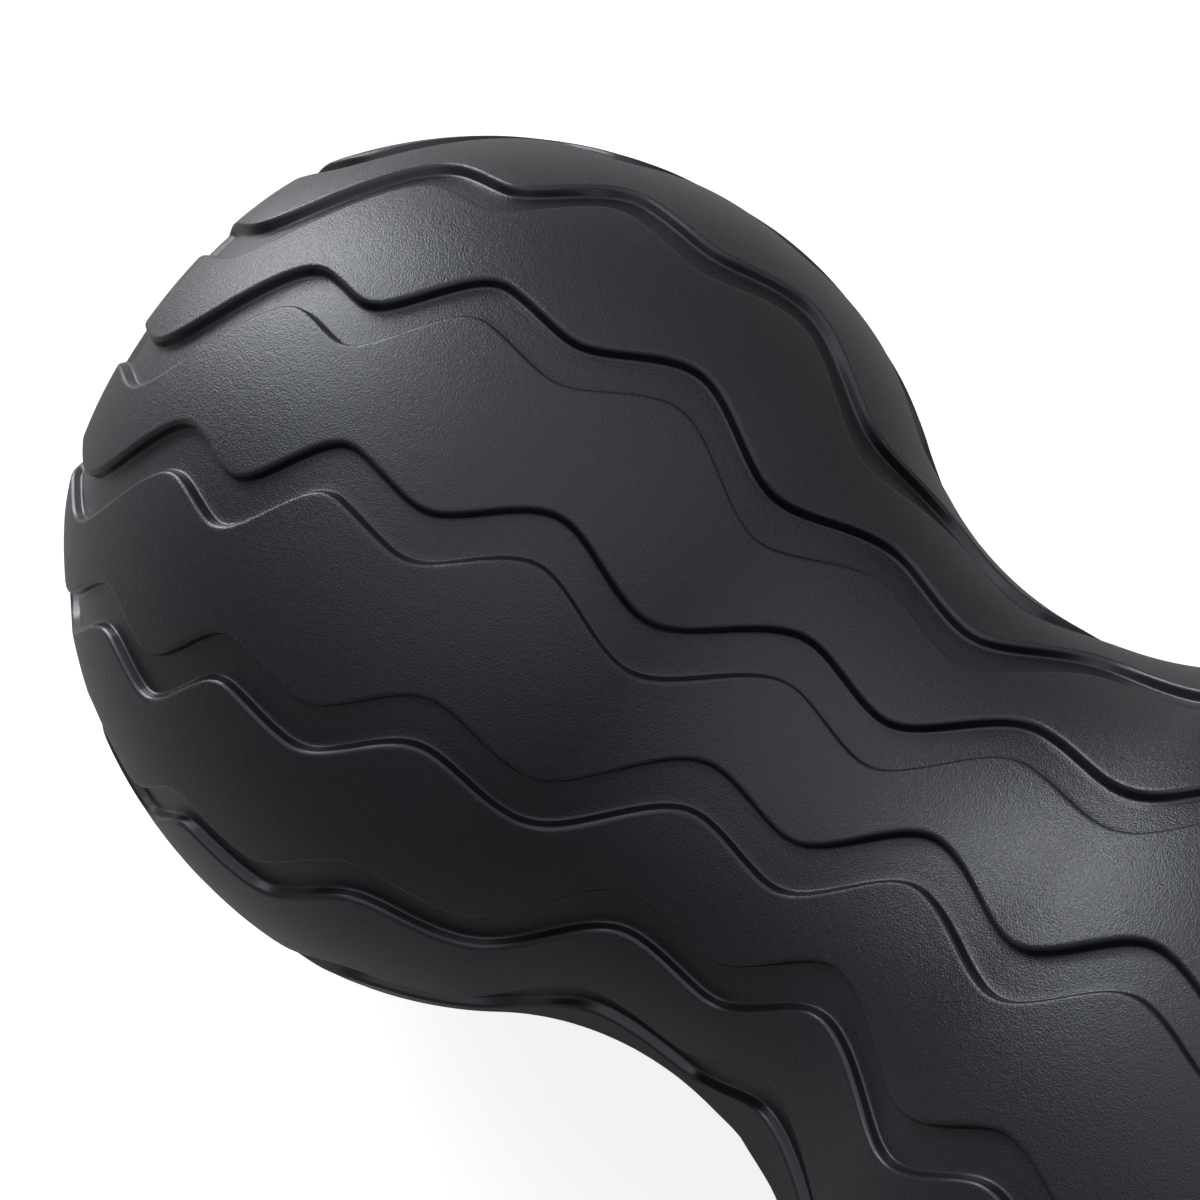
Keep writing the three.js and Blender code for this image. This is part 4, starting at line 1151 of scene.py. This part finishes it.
def board_finish():
    """Solder mask with faint copper tracks under it, along the board's face."""
    material, tree, shader, place = new_material("solder mask", metallic=0, roughness=0.3)
    cells = tree.add("ShaderNodeTexVoronoi", {"distance": "CHEBYCHEV", "feature": "F1"}, {
        "Vector": place, "Scale": 1 / TRACK_CELL})
    tracks = tree.add("ShaderNodeValToRGB", {"stops": [(0.40, 0), (0.46, 1)]}, {"Fac": cells})
    colour = shades(tree, tracks, (0.010, 0.062, 0.032), (0.018, 0.105, 0.052))
    tree.feed(shader.inputs["Base Color"], colour)
    bumped(tree, shader, cells, TRACK_RELIEF)
    return material


inner = {
    finish("core shell", (0.036, 0.039, 0.044), (0.048, 0.051, 0.058), 0.55, 0.5, 0.03):
        ("upper_core_shell", "lower_core_shell", "cell_carrier"),
    finish("seal rubber", (0.008, 0.008, 0.0085), (0.011, 0.011, 0.0115), 0.6, 0.4, 0.02):
        ("plain_cap_seal", "control_cap_seal", "front_damper", "rear_damper"),
    steel: (
        *(f"shell_screw_{i}" for i in range(1, 7)), "carrier_screw_1", "carrier_screw_2",
        "board_screw_1", "board_screw_2", "motor_can", "motor_shaft", "charge_socket"),
    finish("blackened steel", (0.038, 0.040, 0.044), (0.055, 0.057, 0.060), 0.42, 0.5, 0.01, 0.9):
        ("armature_core", "tact_switch", "front_weight_screw", "rear_weight_screw"),
    finish("turned brass", (0.48, 0.31, 0.075), (0.60, 0.40, 0.11), 0.3, 0.5, 0.008, 1, (1, 0.1, 0.1)):
        ("front_weight", "rear_weight", "front_bearing", "rear_bearing"),
    finish("wound copper", (0.36, 0.11, 0.035), (0.52, 0.18, 0.055), 0.35, 0.25, 0.04, 0.9, (0.08, 1, 1)):
        ("armature_winding", "commutator"),
    finish("ferrite", (0.060, 0.066, 0.073), (0.080, 0.086, 0.096), 0.5, 0.6, 0.02):
        ("magnet_1", "magnet_2"),
    black_moulding: ("brush_1", "brush_2", "socket_tongue", "motor_driver_chip", "motor_end_bell"),
    board_finish(): ("control_board",),
    finish("cell sleeve", (0.021, 0.095, 0.23), (0.032, 0.135, 0.31), 0.28, 1.5, 0.02): ("cell_1", "cell_2"),
    finish("nickel strip", (0.50, 0.50, 0.47), (0.64, 0.64, 0.61), 0.3, 0.5, 0.01, 1):
        ("cell_link_strip", "positive_strip", "negative_strip"),
    finish("red lead", (0.33, 0.013, 0.009), (0.43, 0.022, 0.015), 0.4, 0.8, 0.02):
        ("motor_lead_red", "battery_lead_red"),
    finish("black lead", (0.009, 0.009, 0.009), (0.013, 0.013, 0.013), 0.4, 0.8, 0.02):
        ("motor_lead_black", "battery_lead_black"),
}
for material, names in inner.items():
    for name in names:
        for slot in nodes[name].material_slots:
            slot.material = material
    print(material.name, "on", len(names), "nodes")

# %% [markdown]
# ## Floor and backdrop
#
# The photograph is a product picture on pure white. More light would turn the floor white too, but
# it would wash out the black skin. So the floor is pale, keeps a soft shadow, and has a glow for
# the camera, with only a trace of it in gloss. The glow grows a little away from the roller, so no
# horizon shows from the side. The gloss of the skin also mirrors a sky that is brighter overhead,
# as in a white tent.

# %% Floor and world
def seen_directly(tree):
    """1 on what the camera sees straight or through something clear, and 0 elsewhere."""
    rays = tree.add("ShaderNodeLightPath")
    return tree.math("MAXIMUM", rays.output("Is Camera Ray"), rays.output("Is Transmission Ray"))


def seen_in_gloss(tree):
    """1 on what is mirrored in something glossy, and 0 elsewhere."""
    return tree.add("ShaderNodeLightPath").output("Is Glossy Ray")


FLOOR_HALF = 3
FLOOR_GAP = 0.2 * MM
FLOOR_HEIGHT = cad_box[0].z - FLOOR_GAP
FLOOR_COLOUR = (0.62, 0.62, 0.62)
NEAR_GLOW = (0.87, 0.87, 0.87)
FAR_GLOW = (1, 1, 1)
GLOW_START = 0.25
GLOW_END = 0.8
GLOW_IN_GLOSS = 0.05
# Steps of the sky in gloss: height (0 level, 1 overhead) of start and end, gain in brightness
SKY_STEPS = ((0, 0.35, 0.22), (0.5, 0.9, 0.9))
SKY_BASE = 0.18
SKY_FILL = 0.04


def pale_floor():
    """A square floor with the glow in its material."""
    mesh = bpy.data.meshes.new("floor")
    sides = ((-1, -1), (1, -1), (1, 1), (-1, 1))
    mesh.from_pydata([(x * FLOOR_HALF, y * FLOOR_HALF, FLOOR_HEIGHT) for x, y in sides], [], [(0, 1, 2, 3)])
    floor = new_piece("floor", mesh)
    material, tree, shader, place = new_material("floor", roughness=0.9, base_color=(*FLOOR_COLOUR, 1))
    distance = tree.add("ShaderNodeVectorMath", {"operation": "LENGTH"}, {"Vector": place}, "Value")
    far = tree.climb(distance, GLOW_START, GLOW_END)
    tree.feed(shader.inputs["Emission Color"], shades(tree, far, NEAR_GLOW, FAR_GLOW))
    tree.feed(shader.inputs["Emission Strength"], seen_directly(tree) + GLOW_IN_GLOSS * seen_in_gloss(tree))
    mesh.materials.append(material)


def white_world():
    """White to the camera, a faint fill on the roller, and a brighter sky in gloss."""
    world = bpy.data.worlds.new("studio")
    world.use_nodes = True
    bpy.context.scene.world = world
    world.node_tree.nodes.clear()
    tree = Tree(world.node_tree)
    way = tree.add("ShaderNodeTexCoord").output("Generated")
    height = tree.add("ShaderNodeSeparateXYZ", {}, {"Vector": way}).output("Z")
    low_sky, high_sky = (tree.climb(height, *step) for step in SKY_STEPS)
    in_gloss = (SKY_BASE + low_sky + high_sky) * seen_in_gloss(tree)
    strength = SKY_FILL + (1 - SKY_FILL) * seen_directly(tree) + in_gloss
    light = tree.add("ShaderNodeBackground", {}, {"Color": (1, 1, 1, 1), "Strength": strength})
    tree.add("ShaderNodeOutputWorld", {}, {"Surface": light})


pale_floor()
white_world()
bpy.context.scene.view_settings.view_transform = "Standard"
print("floor height", round(FLOOR_HEIGHT / MM, 1), "mm")

# %% [markdown]
# ## Lights
#
# One tall softbox stands low on the left, a little behind, and gives the grooves their bright
# edges. A weaker one above it carries the highlight over the top, and the near side stays dark.
# Sun or point lamps would draw hard glints on the grain, while broad panels leave soft ones. Two
# faint panels, behind at the right and off the control end, keep those sides from going black.

# %% Lights
LIGHT_DISTANCE = 0.9


def softbox(name, azimuth, elevation, width, height, power):
    """An area light that faces the roller from a direction, in degrees as the views count them."""
    a, e = math.radians(azimuth), math.radians(elevation)
    away = Vector((math.sin(a) * math.cos(e), -math.cos(a) * math.cos(e), math.sin(e)))
    data = bpy.data.lights.new(name, "AREA")
    data.shape = "RECTANGLE"
    data.size = width
    data.size_y = height
    data.energy = power
    light = new_piece(name, data)
    light.location = away * LIGHT_DISTANCE
    light.rotation_euler = away.to_track_quat("Z", "Y").to_euler()


# Azimuth and elevation in degrees, width and height in metres, power in watts
softbox("key", -104, 16, 0.45, 0.65, 7.3)
softbox("upper left", -86, 42, 0.5, 0.45, 1.5)
softbox("back right", 140, 30, 0.5, 0.5, 0.4)
softbox("control end", 98, 10, 0.5, 0.5, 0.8)
print("lights", [light.name for light in bpy.data.lights])
